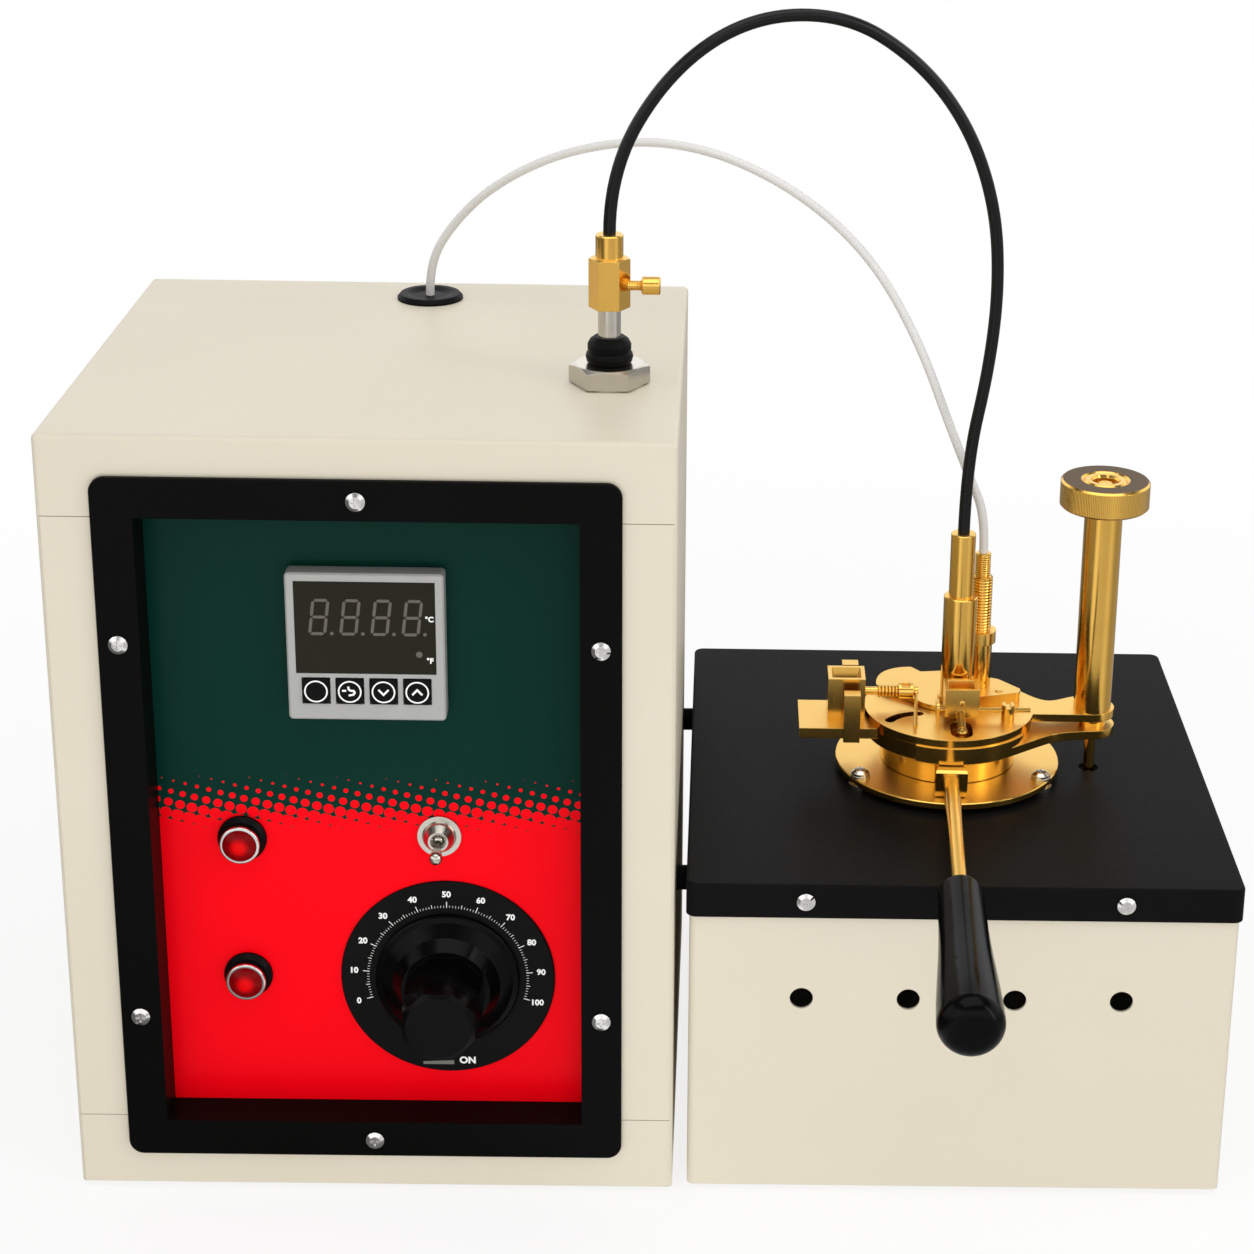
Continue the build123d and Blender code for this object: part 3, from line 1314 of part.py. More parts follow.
# --- Write every node ---
save("cabinet_cover", cabinet_cover())
save("cabinet_base", cabinet_base())
save("front_fascia", front_fascia())
save("back_panel", back_panel())
save("mains_inlet", mains_inlet())
save("rubber_feet", *rubber_feet())
save("bezel_frame", bezel_frame())
save("control_panel", control_panel())
save("panel_screws", *screws())
save("controller_case", controller_case())
save("controller_window", controller_window())
for number, key_x in enumerate(key_xs, start=1):
    save(f"controller_key_{number}", controller_key(key_x))
save("lamp_bodies", *lamp_bodies())
save("lamp_rims", *lamp_rims())
save("lamp_lenses", *lamp_lenses())
save("toggle_switch", toggle_switch())
save("toggle_lever", toggle_lever())
save("dial_plate", dial_plate())
save("dial_knob", dial_knob())
save("dial_shaft", dial_shaft())
save("regulator_body", regulator_body())
save("cable_grommet", cable_grommet())
save("stirrer_motor", stirrer_motor())
save("motor_shaft", motor_shaft())
save("gland_nut", gland_nut())
save("rubber_boot", rubber_boot())
save("steel_sleeve", steel_sleeve())
save("drive_coupling", drive_coupling())
save("clamp_screw", clamp_screw())
save("heater_body", heater_body())
save("heater_cover", heater_cover())
save("link_bolts", *link_bolts())
save("base_flange", base_flange())
save("flange_screws", *flange_screws())
save("air_bath", air_bath())
save("heater_band", heater_band())
save("test_cup", test_cup())
save("handle_rod", handle_rod())
save("handle_grip", handle_grip())
save("cover_rim", cover_rim())
save("cover_plate", cover_plate())
save("column_tube", column_tube())
save("spindle_knob", spindle_knob())
save("spindle_rod", spindle_rod())
save("carrier_plate", carrier_plate())
save("stirrer_tube", stirrer_tube())
save("stirrer_shaft", stirrer_shaft())
save("sensor_ferrule", sensor_ferrule())
save("sensor_probe", sensor_probe())
save("shutter_plate", shutter_plate())
save("flame_box", flame_box())
save("pivot_post", *pivot_post())
save("pilot_bar", pilot_bar())
save("pilot_box", *pilot_box())
save("pilot_shaft", pilot_shaft())
save("flexible_shaft", cord("flexible_shaft", flexible_shaft_route, shaft_cord_radius))
save("sensor_lead", cord("sensor_lead", sensor_lead_route, lead_cord_radius))
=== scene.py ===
import bpy
import math
from mathutils import Matrix, Vector


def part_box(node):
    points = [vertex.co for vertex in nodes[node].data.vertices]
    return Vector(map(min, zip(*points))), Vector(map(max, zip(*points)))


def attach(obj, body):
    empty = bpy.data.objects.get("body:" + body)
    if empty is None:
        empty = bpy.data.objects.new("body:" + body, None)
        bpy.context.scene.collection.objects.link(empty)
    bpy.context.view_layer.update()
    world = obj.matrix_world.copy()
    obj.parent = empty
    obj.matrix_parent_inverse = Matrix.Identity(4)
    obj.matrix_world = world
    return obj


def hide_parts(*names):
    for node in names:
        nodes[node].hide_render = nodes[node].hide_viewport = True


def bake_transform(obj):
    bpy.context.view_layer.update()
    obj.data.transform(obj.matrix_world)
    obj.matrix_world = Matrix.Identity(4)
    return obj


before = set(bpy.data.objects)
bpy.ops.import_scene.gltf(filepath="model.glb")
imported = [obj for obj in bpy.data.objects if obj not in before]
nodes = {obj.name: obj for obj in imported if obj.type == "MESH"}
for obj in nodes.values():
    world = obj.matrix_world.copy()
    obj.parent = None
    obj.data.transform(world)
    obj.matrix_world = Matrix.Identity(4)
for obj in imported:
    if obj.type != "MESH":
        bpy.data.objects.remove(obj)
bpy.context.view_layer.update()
mm = 0.001
print("frame loaded:", len(nodes), "nodes")

cameraSettings = {
    "location": (0.02787, -1.20820, 0.76115),
    "pitch": 18.4402, "yaw": 0.6696, "roll": 1.0253,   # degrees
    "sensor": 36.0, "lens": 77.54,
    "shift": (-0.0997, -0.1491),
}


def addObject(name, data):
    thing = bpy.data.objects.new(name, data)
    bpy.context.scene.collection.objects.link(thing)
    return thing


def setCamera(settings):
    pitch, yaw, roll = (math.radians(settings[key]) for key in ("pitch", "yaw", "roll"))
    forward = Vector((math.sin(yaw) * math.cos(pitch), math.cos(yaw) * math.cos(pitch), -math.sin(pitch)))
    right = Vector((math.cos(yaw), -math.sin(yaw), 0))
    up = right.cross(forward)
    side = right * math.cos(roll) + up * math.sin(roll)
    top = up * math.cos(roll) - right * math.sin(roll)
    turn = Matrix((side, top, -forward)).transposed().to_4x4()
    data = bpy.data.cameras.new("camera")
    data.sensor_width = settings["sensor"]
    data.lens = settings["lens"]
    data.shift_x, data.shift_y = settings["shift"]
    data.dof.use_dof = False
    camera = addObject("camera", data)
    camera.matrix_world = Matrix.Translation(settings["location"]) @ turn
    bpy.context.scene.camera = camera


setCamera(cameraSettings)
bpy.context.scene.view_settings.view_transform = "Standard"


def linear(hexColour):
    # sRGB hex to the linear colour that the shaders take
    parts = [int(hexColour[i:i + 2], 16) / 255 for i in (1, 3, 5)]
    return tuple(c / 12.92 if c <= 0.04045 else ((c + 0.055) / 1.055) ** 2.4 for c in parts) + (1.0,)


def perMetre(millimetres):
    # texture scale that gives a pattern this size
    return 1 / (millimetres * mm)


def addNode(tree, kind, inputs=None, **settings):
    # one node with its settings; an input takes a value or another node's output
    # a Mix of numbers takes them on 2 and 3 and gives output 0, a Mix of colours takes 6 and 7 and gives 2
    node = tree.nodes.new("ShaderNode" + kind)
    for name, value in settings.items():
        setattr(node, name, value)
    for name, value in (inputs or {}).items():
        if isinstance(value, bpy.types.NodeSocket):
            tree.links.new(value, node.inputs[name])
        else:
            node.inputs[name].default_value = value
    return node


studio = {
    "ambient": 0.54,          # even light from all round
    "floorGlow": 0.80,        # share of the floor's white that the object can't shade, close to it
    "floorBounce": 0.60,      # the same share for the light that the floor throws back
    "glowStart": 0.45, "glowFull": 1.1,   # metres from the middle where the floor turns plain white
    "floorHalf": 6.0,         # metres from the floor's middle to its edges
    # what mirrors see above the table, by how far up they look: white cards with a dark gap high above them
    "sky": [(0.02, 0.8), (0.22, 1.5), (0.52, 1.5), (0.70, 0.12), (0.95, 0.7)],
    # what mirrors see in the table, by bearing from its middle: 0 left, 0.25 front, 0.5 right, 0.75 behind
    "middle": (0.07, 0.03, 0.0),
    "cards": [(0.0, 0.14), (0.09, 0.18), (0.125, 0.4), (0.155, 1.1), (0.19, 1.25), (0.22, 0.85), (0.28, 0.75),
              (0.36, 0.72), (0.415, 0.95), (0.485, 0.45), (0.61, 0.45), (0.72, 0.4), (0.9, 0.1), (1.0, 0.14)],
    "lamps": [  # name, place, aim, size in metres, watts, and whether mirrors show it
        ("overhead", (0.1, -0.3, 2.0), (0, 0, 0.2), (2.0, 1.6), 16.5, True),
        ("frontLeft", (-1.6, -1.9, 1.1), (0, 0, 0.2), (1.0, 1.6), 2.0, True),
        ("frontLow", (-0.05, -0.85, 0.1), (0, 0, 0.05), (0.9, 0.2), 1.9, False),
        ("rightStrip", (1.7, -0.9, 1.0), (0.15, 0, 0.25), (0.35, 1.6), 6.0, True),
    ],
}


def seenByEye(tree):
    # 1 for camera, mirror and glass rays, 0 for the light that falls on things
    path = addNode(tree, "LightPath")
    first = addNode(tree, "Math", {0: path.outputs["Is Camera Ray"], 1: path.outputs["Is Glossy Ray"]},
                    operation="MAXIMUM")
    return addNode(tree, "Math", {0: first.outputs[0], 1: path.outputs["Is Transmission Ray"]},
                   operation="MAXIMUM").outputs[0]


def setWorld():
    world = bpy.data.worlds.new("studio")
    bpy.context.scene.world = world
    world.use_nodes = True
    tree = world.node_tree
    tree.nodes.clear()
    path = addNode(tree, "LightPath")
    direction = addNode(tree, "TexCoord")
    upward = addNode(tree, "SeparateXYZ", {0: direction.outputs["Generated"]})
    # the gap between the cards gives the metal its dark bands
    card = addNode(tree, "ValToRGB", {0: upward.outputs["Z"]})
    stops = card.color_ramp.elements
    for stop, (level, grey) in zip(stops, (studio["sky"][0], studio["sky"][-1])):
        stop.position, stop.color = level, (grey, grey, grey, 1)
    for level, grey in studio["sky"][1:-1]:
        stops.new(level).color = (grey, grey, grey, 1)
    plain = addNode(tree, "Mix", {"Factor": path.outputs["Is Glossy Ray"], 6: (1, 1, 1, 1),
                                  7: card.outputs["Color"]}, data_type="RGBA")
    shown = addNode(tree, "Background", {"Color": plain.outputs[2], "Strength": 1.0})
    light = addNode(tree, "Background", {"Color": (1, 1, 1, 1), "Strength": studio["ambient"]})
    mixed = addNode(tree, "MixShader", {0: seenByEye(tree), 1: light.outputs[0], 2: shown.outputs[0]})
    addNode(tree, "OutputWorld", {0: mixed.outputs[0]})


def addLamps():
    for name, place, aim, size, watts, mirrored in studio["lamps"]:
        data = bpy.data.lights.new(name, "AREA")
        data.shape = "RECTANGLE"
        data.size, data.size_y = size
        data.energy = watts
        lamp = addObject(name, data)
        lamp.location = place
        lamp.visible_camera = False
        lamp.visible_glossy = mirrored
        lamp.rotation_euler = (Vector(aim) - Vector(place)).to_track_quat("-Z", "Y").to_euler()


def addMesh(name, corners, faces):
    mesh = bpy.data.meshes.new(name)
    mesh.from_pydata(corners, [], faces)
    return addObject(name, mesh)


def addFloor():
    half = studio["floorHalf"]
    floor = addMesh("floor", [(-half, -half, 0), (half, -half, 0), (half, half, 0), (-half, half, 0)],
                    [(0, 1, 2, 3)])
    material = bpy.data.materials.new("paperFloor")
    material.use_nodes = True
    tree = material.node_tree
    tree.nodes.clear()
    paper = addNode(tree, "BsdfDiffuse", {"Color": linear("#FAFAFA")})
    glow = addNode(tree, "Emission", {"Color": (1, 1, 1, 1), "Strength": 1.0})
    place = addNode(tree, "TexCoord").outputs["Object"]
    away = addNode(tree, "VectorMath", {0: place}, operation="LENGTH").outputs["Value"]
    reach = addNode(tree, "MapRange", {"Value": away, "From Min": studio["glowStart"],
                                       "From Max": studio["glowFull"],
                                       "To Min": studio["floorGlow"], "To Max": 1.0}).outputs[0]
    share = addNode(tree, "Mix", {"Factor": seenByEye(tree), 2: studio["floorBounce"], 3: reach})
    mixed = addNode(tree, "MixShader", {0: share.outputs[0], 1: paper.outputs[0], 2: glow.outputs[0]})
    # metal mirrors cards that stand round the table, by their bearing: this draws the bands on its columns
    fromMiddle = addNode(tree, "VectorMath", {0: place, 1: studio["middle"]}, operation="SUBTRACT").outputs[0]
    bearing = addNode(tree, "TexGradient", {"Vector": fromMiddle}, gradient_type="RADIAL").outputs["Fac"]
    cards = addNode(tree, "ValToRGB", {0: bearing})
    stops = cards.color_ramp.elements
    for stop, (turn, grey) in zip(stops, (studio["cards"][0], studio["cards"][-1])):
        stop.position, stop.color = turn, (grey, grey, grey, 1)
    for turn, grey in studio["cards"][1:-1]:
        stops.new(turn).color = (grey, grey, grey, 1)
    mirrored = addNode(tree, "Emission", {"Color": cards.outputs["Color"], "Strength": 1.0})
    shown = addNode(tree, "MixShader", {0: addNode(tree, "LightPath").outputs["Is Glossy Ray"],
                                        1: mixed.outputs[0], 2: mirrored.outputs[0]})
    addNode(tree, "OutputMaterial", {0: shown.outputs[0]})
    floor.data.materials.append(material)


setWorld()
addLamps()
addFloor()
print("camera, lamps and floor set")


def cordLine(name, route):
    # centre line of a cord as points, from a smooth curve over its route
    curve = bpy.data.curves.new(name, "CURVE")
    curve.dimensions = "3D"
    curve.resolution_u = 10
    spline = curve.splines.new("NURBS")
    spline.points.add(len(route) - 1)
    for point, place in zip(spline.points, route):
        point.co = (*place, 1)
    spline.order_u = 3
    spline.use_endpoint_u = True
    holder = addObject(name, curve)
    line = bpy.data.meshes.new_from_object(holder)
    points = [vertex.co.copy() for vertex in line.vertices]
    bpy.data.objects.remove(holder)
    return points


def lineLength(points):
    return sum((b - a).length for a, b in zip(points, points[1:]))


def ringsAlong(points, radius, sides):
    # rings of corners square to the line, which keep their twist along it
    rings = []
    previous = None
    for index, point in enumerate(points):
        before, after = points[max(index - 1, 0)], points[min(index + 1, len(points) - 1)]
        along = (after - before).normalized()
        if previous is None:
            previous = along.orthogonal().normalized()
        across = (previous - along * previous.dot(along)).normalized()
        other = along.cross(across)
        previous = across
        turns = [2 * math.pi * side / sides for side in range(sides)]
        rings.append([point + (across * math.cos(turn) + other * math.sin(turn)) * radius for turn in turns])
    return rings


def bands(rings, sides, closed=False):
    # faces between each ring of corners and the next, and back to the first when closed
    total = rings * sides
    faces = []
    for ring in range(rings if closed else rings - 1):
        for side in range(sides):
            a, b = ring * sides + side, ring * sides + (side + 1) % sides
            faces.append((a, b, (b + sides) % total, (a + sides) % total))
    return faces


def tube(name, rings):
    # closed round tube over its rings, with sharp ends
    sides = len(rings[0])
    corners = [corner for ring in rings for corner in ring]
    last = len(corners) - sides
    ends = [tuple(reversed(range(sides))), tuple(range(last, len(corners)))]
    piece = addMesh(name, corners, bands(len(rings), sides) + ends)
    piece.data.polygons.foreach_set("use_smooth", [face.loop_total == 4 for face in piece.data.polygons])
    for edge in piece.data.edges:
        first, second = edge.vertices
        edge.use_edge_sharp = max(first, second) < sides or min(first, second) >= last
    return piece


cordSides = 20      # corners round a cord

# routes in metres, from the housing to the cover
flexibleShaft = {
    "node": "flexible_shaft", "slot": "black_rubber", "diameter": 0.006, "stiffness": "stiff",
    "route": [(-0.0256, 0.0085, 0.455), (-0.0256, 0.0085, 0.485), (0.001, 0.009, 0.531),
              (0.038, 0.015, 0.556), (0.082, 0.025, 0.556), (0.117, 0.036, 0.533),
              (0.142, 0.045, 0.501), (0.157, 0.053, 0.461), (0.161, 0.056, 0.420),
              (0.158, 0.056, 0.378), (0.1492, 0.0555, 0.330), (0.1492, 0.0555, 0.2925)],
}
sensorLead = {
    "node": "sensor_lead", "slot": "white_silicone", "diameter": 0.0045, "stiffness": "medium",
    "route": [(-0.1253, 0.1525, 0.3848), (-0.1253, 0.1525, 0.402), (-0.113, 0.152, 0.423),
              (-0.092, 0.150, 0.444), (-0.058, 0.143, 0.463), (-0.017, 0.133, 0.473),
              (0.019, 0.121, 0.471), (0.052, 0.108, 0.460), (0.082, 0.095, 0.442),
              (0.106, 0.083, 0.418), (0.126, 0.073, 0.383), (0.140, 0.0685, 0.347),
              (0.152, 0.0676, 0.318), (0.1608, 0.068, 0.2975), (0.1608, 0.068, 0.2774)],
}


def makeCord(cord):
    # two lengths that meet at the top of the arch
    points = cordLine(cord["node"], cord["route"])
    rings = ringsAlong(points, cord["diameter"] / 2, cordSides)
    top = max(range(len(points)), key=lambda index: points[index].z)
    spans = [("_upper", slice(0, top + 1), "housing", "cup"), ("_lower", slice(top, None), "cup", "cover")]
    made = []
    for ending, part, first, second in spans:
        piece = tube(cord["node"] + ending, rings[part])
        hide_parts(cord["node"])
        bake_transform(piece)
        made.append(piece)
    print(cord["node"], "length", round(lineLength(points), 4))
    return made


shaftPieces = makeCord(flexibleShaft)
leadPieces = makeCord(sensorLead)


def middle(node):
    low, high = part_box(node)
    return Vector([(a + b) / 2 for a, b in zip(low, high)])


def startMaterial(name, finish):
    # a shader with the plain values of a finish, ready for its pattern nodes
    material = bpy.data.materials.new(name)
    material.use_nodes = True
    tree = material.node_tree
    tree.nodes.clear()
    inputs = {"Base Color": linear(finish["colour"])}
    for key, socket in (("metallic", "Metallic"), ("ior", "IOR"), ("specular", "Specular IOR Level")):
        if key in finish:
            inputs[socket] = finish[key]
    shader = addNode(tree, "BsdfPrincipled", inputs)
    addNode(tree, "OutputMaterial", {"Surface": shader.outputs[0]})
    return material, tree, shader


grainSpan = (0.3, 0.7)       # most of a noise pattern lies between these values
levelFacing = (0.8, 0.98)    # upward part of the normal from which a face counts as level


def finishSurface(tree, shader, finish, grain, tintBy):
    # tint, gloss and relief of a surface from its own grain and a broad cloud
    tint = addNode(tree, "Mix", {"Factor": tintBy, 6: linear(finish["colour"]), 7: linear(finish["second"])},
                   data_type="RGBA")
    low, high = finish["roughness"]
    gloss = addNode(tree, "MapRange", {"Value": grain, "From Min": grainSpan[0], "From Max": grainSpan[1],
                                       "To Min": low, "To Max": high})
    if "flat" in finish:
        # faces that look up are rubbed flat with paper, which leaves them duller than the turned walls; they
        # also take a lighter painted colour, painted light falling from above
        normal = addNode(tree, "TexCoord").outputs["Normal"]
        facing = addNode(tree, "VectorMath", {0: normal, 1: (0, 0, 1)},
                         operation="DOT_PRODUCT").outputs["Value"]
        share = addNode(tree, "MapRange", {"Value": facing, "From Min": levelFacing[0],
                                           "From Max": levelFacing[1]}).outputs[0]
        gloss = addNode(tree, "Math", {0: share, 1: finish["flat"], 2: gloss.outputs[0]},
                        operation="MULTIPLY_ADD")
        tint = addNode(tree, "Mix", {"Factor": share, 6: tint.outputs[2], 7: linear(finish["flatColour"])},
                       data_type="RGBA")
    relief = addNode(tree, "Bump", {"Height": grain, "Distance": finish["depth"] * mm, "Strength": 1.0})
    if "edge" in finish:
        # the bevel node rounds sharp edges so that they catch a thin line of light
        rounded = addNode(tree, "Bevel", {"Radius": finish["edge"] * mm}, samples=4)
        tree.links.new(rounded.outputs[0], relief.inputs["Normal"])
    tree.links.new(tint.outputs[2], shader.inputs["Base Color"])
    tree.links.new(gloss.outputs[0], shader.inputs["Roughness"])
    tree.links.new(relief.outputs[0], shader.inputs["Normal"])


def evenSurface(name, finish):
    # moulded, coated and cast surfaces: a grain without direction over a broad cloud of tint
    material, tree, shader = startMaterial(name, finish)
    place = addNode(tree, "TexCoord").outputs["Object"]
    grain = addNode(tree, "TexNoise", {"Vector": place, "Scale": perMetre(finish["grain"]), "Detail": 3.0})
    cloud = addNode(tree, "TexNoise", {"Vector": place, "Scale": perMetre(finish["cloud"]), "Detail": 2.0})
    finishSurface(tree, shader, finish, grain.outputs["Fac"], cloud.outputs["Fac"])
    return material


def turnedMetal(name, finish, centre, direction=(0, 0, 1)):
    # lathe work: the tool leaves rings about the axis, on end faces as circles and on walls as bands
    material, tree, shader = startMaterial(name, finish)
    place = addNode(tree, "TexCoord").outputs["Object"]
    away = addNode(tree, "VectorMath", {0: place, 1: centre}, operation="SUBTRACT").outputs[0]
    across = addNode(tree, "VectorMath", {0: away, 1: [1 - part for part in direction]}, operation="MULTIPLY")
    radius = addNode(tree, "VectorMath", {0: across.outputs[0]}, operation="LENGTH").outputs["Value"]
    along = addNode(tree, "VectorMath", {0: away, 1: direction}, operation="DOT_PRODUCT").outputs["Value"]
    travel = addNode(tree, "Math", {0: radius, 1: along}, operation="ADD").outputs[0]
    rings = addNode(tree, "TexNoise", {"W": travel, "Scale": perMetre(finish["grain"]), "Detail": 4.0},
                    noise_dimensions="1D")
    cloud = addNode(tree, "TexNoise", {"Vector": place, "Scale": perMetre(finish["cloud"]), "Detail": 3.0})
    finishSurface(tree, shader, finish, rings.outputs["Fac"], cloud.outputs["Fac"])
    return material


def findShader(material):
    return next(node for node in material.node_tree.nodes if node.type == "BSDF_PRINCIPLED")


knobMarks = {
    "lines": 160, "lineDepth": 0.08,           # straight fine knurl round the rim
    "ring": (10.8, 21.8), "soft": 0.4,         # millimetres from the axis: the band of the face painted brown and matt
    "brown": "#5E4A30", "brownRoughness": 0.5,
    "face": (0.9, 0.98), "rim": (0.5, 0.2),    # upward part of the normal where each one starts and is full
}


def addKnobMarks(material, centre):
    # the knob's rim is knurled for the fingers, and the flat round its middle is painted a darker brown and
    # made matt
    tree, shader = material.node_tree, findShader(material)
    tint, gloss, relief = (shader.inputs[name].links[0].from_socket
                           for name in ("Base Color", "Roughness", "Normal"))
    coordinates = addNode(tree, "TexCoord")
    facing = addNode(tree, "VectorMath", {0: coordinates.outputs["Normal"], 1: (0, 0, 1)},
                     operation="DOT_PRODUCT").outputs["Value"]
    away = addNode(tree, "VectorMath", {0: coordinates.outputs["Object"], 1: centre},
                   operation="SUBTRACT").outputs[0]
    flat = addNode(tree, "VectorMath", {0: away, 1: (1, 1, 0)}, operation="MULTIPLY").outputs[0]
    radius = addNode(tree, "VectorMath", {0: flat}, operation="LENGTH").outputs["Value"]
    inner, outer = (edge * mm for edge in knobMarks["ring"])
    soft = knobMarks["soft"] * mm
    starts = addNode(tree, "MapRange", {"Value": radius, "From Min": inner, "From Max": inner + soft})
    ends = addNode(tree, "MapRange", {"Value": radius, "From Min": outer, "From Max": outer - soft})
    band = addNode(tree, "Math", {0: starts.outputs[0], 1: ends.outputs[0]}, operation="MULTIPLY").outputs[0]
    start, full = knobMarks["face"]
    upper = addNode(tree, "MapRange", {"Value": facing, "From Min": start, "From Max": full}).outputs[0]
    brownBand = addNode(tree, "Math", {0: band, 1: upper}, operation="MULTIPLY").outputs[0]
    brown = addNode(tree, "Mix", {"Factor": brownBand, 6: tint, 7: linear(knobMarks["brown"])}, data_type="RGBA")
    matt = addNode(tree, "Mix", {"Factor": brownBand, 2: gloss, 3: knobMarks["brownRoughness"]})
    turn = addNode(tree, "TexGradient", {"Vector": flat}, gradient_type="RADIAL").outputs["Fac"]
    angle = addNode(tree, "Math", {0: turn, 1: knobMarks["lines"] * 2 * math.pi},
                    operation="MULTIPLY").outputs[0]
    ridges = addNode(tree, "Math", {0: angle}, operation="SINE").outputs[0]
    start, full = knobMarks["rim"]
    rim = addNode(tree, "MapRange", {"Value": facing, "From Min": start, "From Max": full}).outputs[0]
    height = addNode(tree, "Math", {0: ridges, 1: rim}, operation="MULTIPLY").outputs[0]
    knurl = addNode(tree, "Bump", {"Height": height, "Distance": knobMarks["lineDepth"] * mm,
                                   "Normal": relief})
    tree.links.new(brown.outputs[2], shader.inputs["Base Color"])
    tree.links.new(matt.outputs[0], shader.inputs["Roughness"])
    tree.links.new(knurl.outputs[0], shader.inputs["Normal"])
    return material


slopeBrown = {
    "brown": "#6B4C1C", "share": 0.8,
    "from": 0.2, "to": 0.45, "until": 0.93,    # upward part of the normal of the walls that it darkens
}


def addSoot(material):
    # the sloping walls of the two burner wells are painted brown, by how far they face up
    tree, shader = material.node_tree, findShader(material)
    tint = shader.inputs["Base Color"].links[0].from_socket
    normal = addNode(tree, "TexCoord").outputs["Normal"]
    facing = addNode(tree, "VectorMath", {0: normal, 1: (0, 0, 1)}, operation="DOT_PRODUCT").outputs["Value"]
    sloping = addNode(tree, "MapRange", {"Value": facing, "From Min": slopeBrown["from"], "From Max": slopeBrown["to"],
                                         "To Max": slopeBrown["share"]}).outputs[0]
    level = addNode(tree, "Math", {0: facing, 1: slopeBrown["until"]}, operation="LESS_THAN").outputs[0]
    share = addNode(tree, "Math", {0: sloping, 1: level}, operation="MULTIPLY").outputs[0]
    brown = addNode(tree, "Mix", {"Factor": share, 6: tint, 7: linear(slopeBrown["brown"])}, data_type="RGBA")
    tree.links.new(brown.outputs[2], shader.inputs["Base Color"])
    return material


def milledMetal(name, finish, direction):
    # milled and hand-finished flats: long fine scratches that run one way
    material, tree, shader = startMaterial(name, finish)
    place = addNode(tree, "TexCoord").outputs["Object"]
    fine = perMetre(finish["grain"])
    stretch = [fine / finish["stroke"] if part else fine for part in direction]
    drawn = addNode(tree, "Mapping", {"Vector": place, "Scale": stretch})
    scratches = addNode(tree, "TexNoise", {"Vector": drawn.outputs[0], "Scale": 1.0, "Detail": 3.0})
    cloud = addNode(tree, "TexNoise", {"Vector": place, "Scale": perMetre(finish["cloud"]), "Detail": 3.0})
    finishSurface(tree, shader, finish, scratches.outputs["Fac"], cloud.outputs["Fac"])
    return material


def dress(material, *names):
    # a CAD node keeps its shape and takes this material in each of its slots
    for name in names:
        piece = nodes[name]
        if not piece.material_slots:
            piece.data.materials.append(None)
        for slot in piece.material_slots:
            slot.material = material


def dressPiece(piece, material, body=None):
    # a piece made here takes one material and the body it moves with
    piece.data.materials.clear()
    piece.data.materials.append(material)
    if body:
        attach(piece, body)


# finishes: grain and cloud are the sizes of the fine and the broad pattern, depth is the relief and edge
# the rounding that catches light, all in millimetres; roughness runs from the smoothest to the roughest spot

# polyester powder coat on steel, baked: a faint orange peel softens its reflections
creamCoat = {"colour": "#DCD4C0", "second": "#D7CEB9", "ior": 1.5,
             "roughness": (0.38, 0.46), "grain": 2.0, "depth": 0.02, "cloud": 90.0, "edge": 0.4}
# satin black powder coat: a finer, drier texture that lifts to grey where light grazes it
blackCoat = {"colour": "#100F0F", "second": "#141313", "ior": 1.5, "specular": 0.03,
             "roughness": (0.40, 0.52), "grain": 0.9, "depth": 0.03, "cloud": 60.0, "edge": 0.9}
# black stoving enamel of the window frame: smoother and deeper than the lid
blackEnamel = {"colour": "#090908", "second": "#0D0C0C", "ior": 1.5, "specular": 0.03,
               "roughness": (0.30, 0.38), "grain": 1.6, "depth": 0.015, "cloud": 60.0, "edge": 0.6}
# moulded ABS and polyamide fittings: satin, with the fine spark texture of the mould
blackNylon = {"colour": "#0B0B0B", "second": "#0F0E0E", "ior": 1.53, "specular": 0.06,
              "roughness": (0.34, 0.46), "grain": 0.7, "depth": 0.02, "cloud": 20.0, "edge": 0.3}
# light silver grey ABS of the controller, spark eroded mould
silverCase = {"colour": "#A9A9A6", "second": "#A1A09D", "ior": 1.53,
              "roughness": (0.34, 0.44), "grain": 0.6, "depth": 0.02, "cloud": 14.0, "edge": 0.4}
# anodised dark scale plate with a fine matt etch
scalePlate = {"colour": "#0F0F0F", "second": "#151414", "ior": 1.5, "specular": 0.045,
              "roughness": (0.42, 0.55), "grain": 0.5, "depth": 0.01, "cloud": 25.0, "edge": 0.3}
# phenolic moulding, polished by its mould: deep black, hard gloss, slight flow marks
phenolic = {"colour": "#040404", "second": "#060606", "ior": 1.58, "specular": 0.055,
            "roughness": (0.12, 0.20), "grain": 4.0, "depth": 0.02, "cloud": 22.0, "edge": 0.5}
# natural rubber mouldings: dull, with bloom that greys the surface
rubber = {"colour": "#060606", "second": "#0B0A0A", "ior": 1.52, "specular": 0.07,
          "roughness": (0.38, 0.55), "grain": 0.8, "depth": 0.02, "cloud": 7.0, "edge": 0.3}
# extruded PVC sheath of the drive shaft: a smooth satin skin that waves very slightly
pvcSheath = {"colour": "#080809", "second": "#0C0C0C", "ior": 1.53, "specular": 0.2,
             "roughness": (0.26, 0.32), "grain": 5.0, "depth": 0.005, "cloud": 18.0}
# silicone sleeve over the sensor wires: milky white and slightly waxy
silicone = {"colour": "#E4E3E0", "second": "#DEDCD8", "ior": 1.41,
            "roughness": (0.32, 0.38), "grain": 6.0, "depth": 0.004, "cloud": 16.0}
# chrome plate over polished brass, on the lamp rims and the screws: mirror bright
chrome = {"colour": "#D8D7D4", "second": "#CFCDCA", "metallic": 1.0,
          "roughness": (0.06, 0.12), "grain": 3.0, "depth": 0.004, "cloud": 9.0, "edge": 0.25}
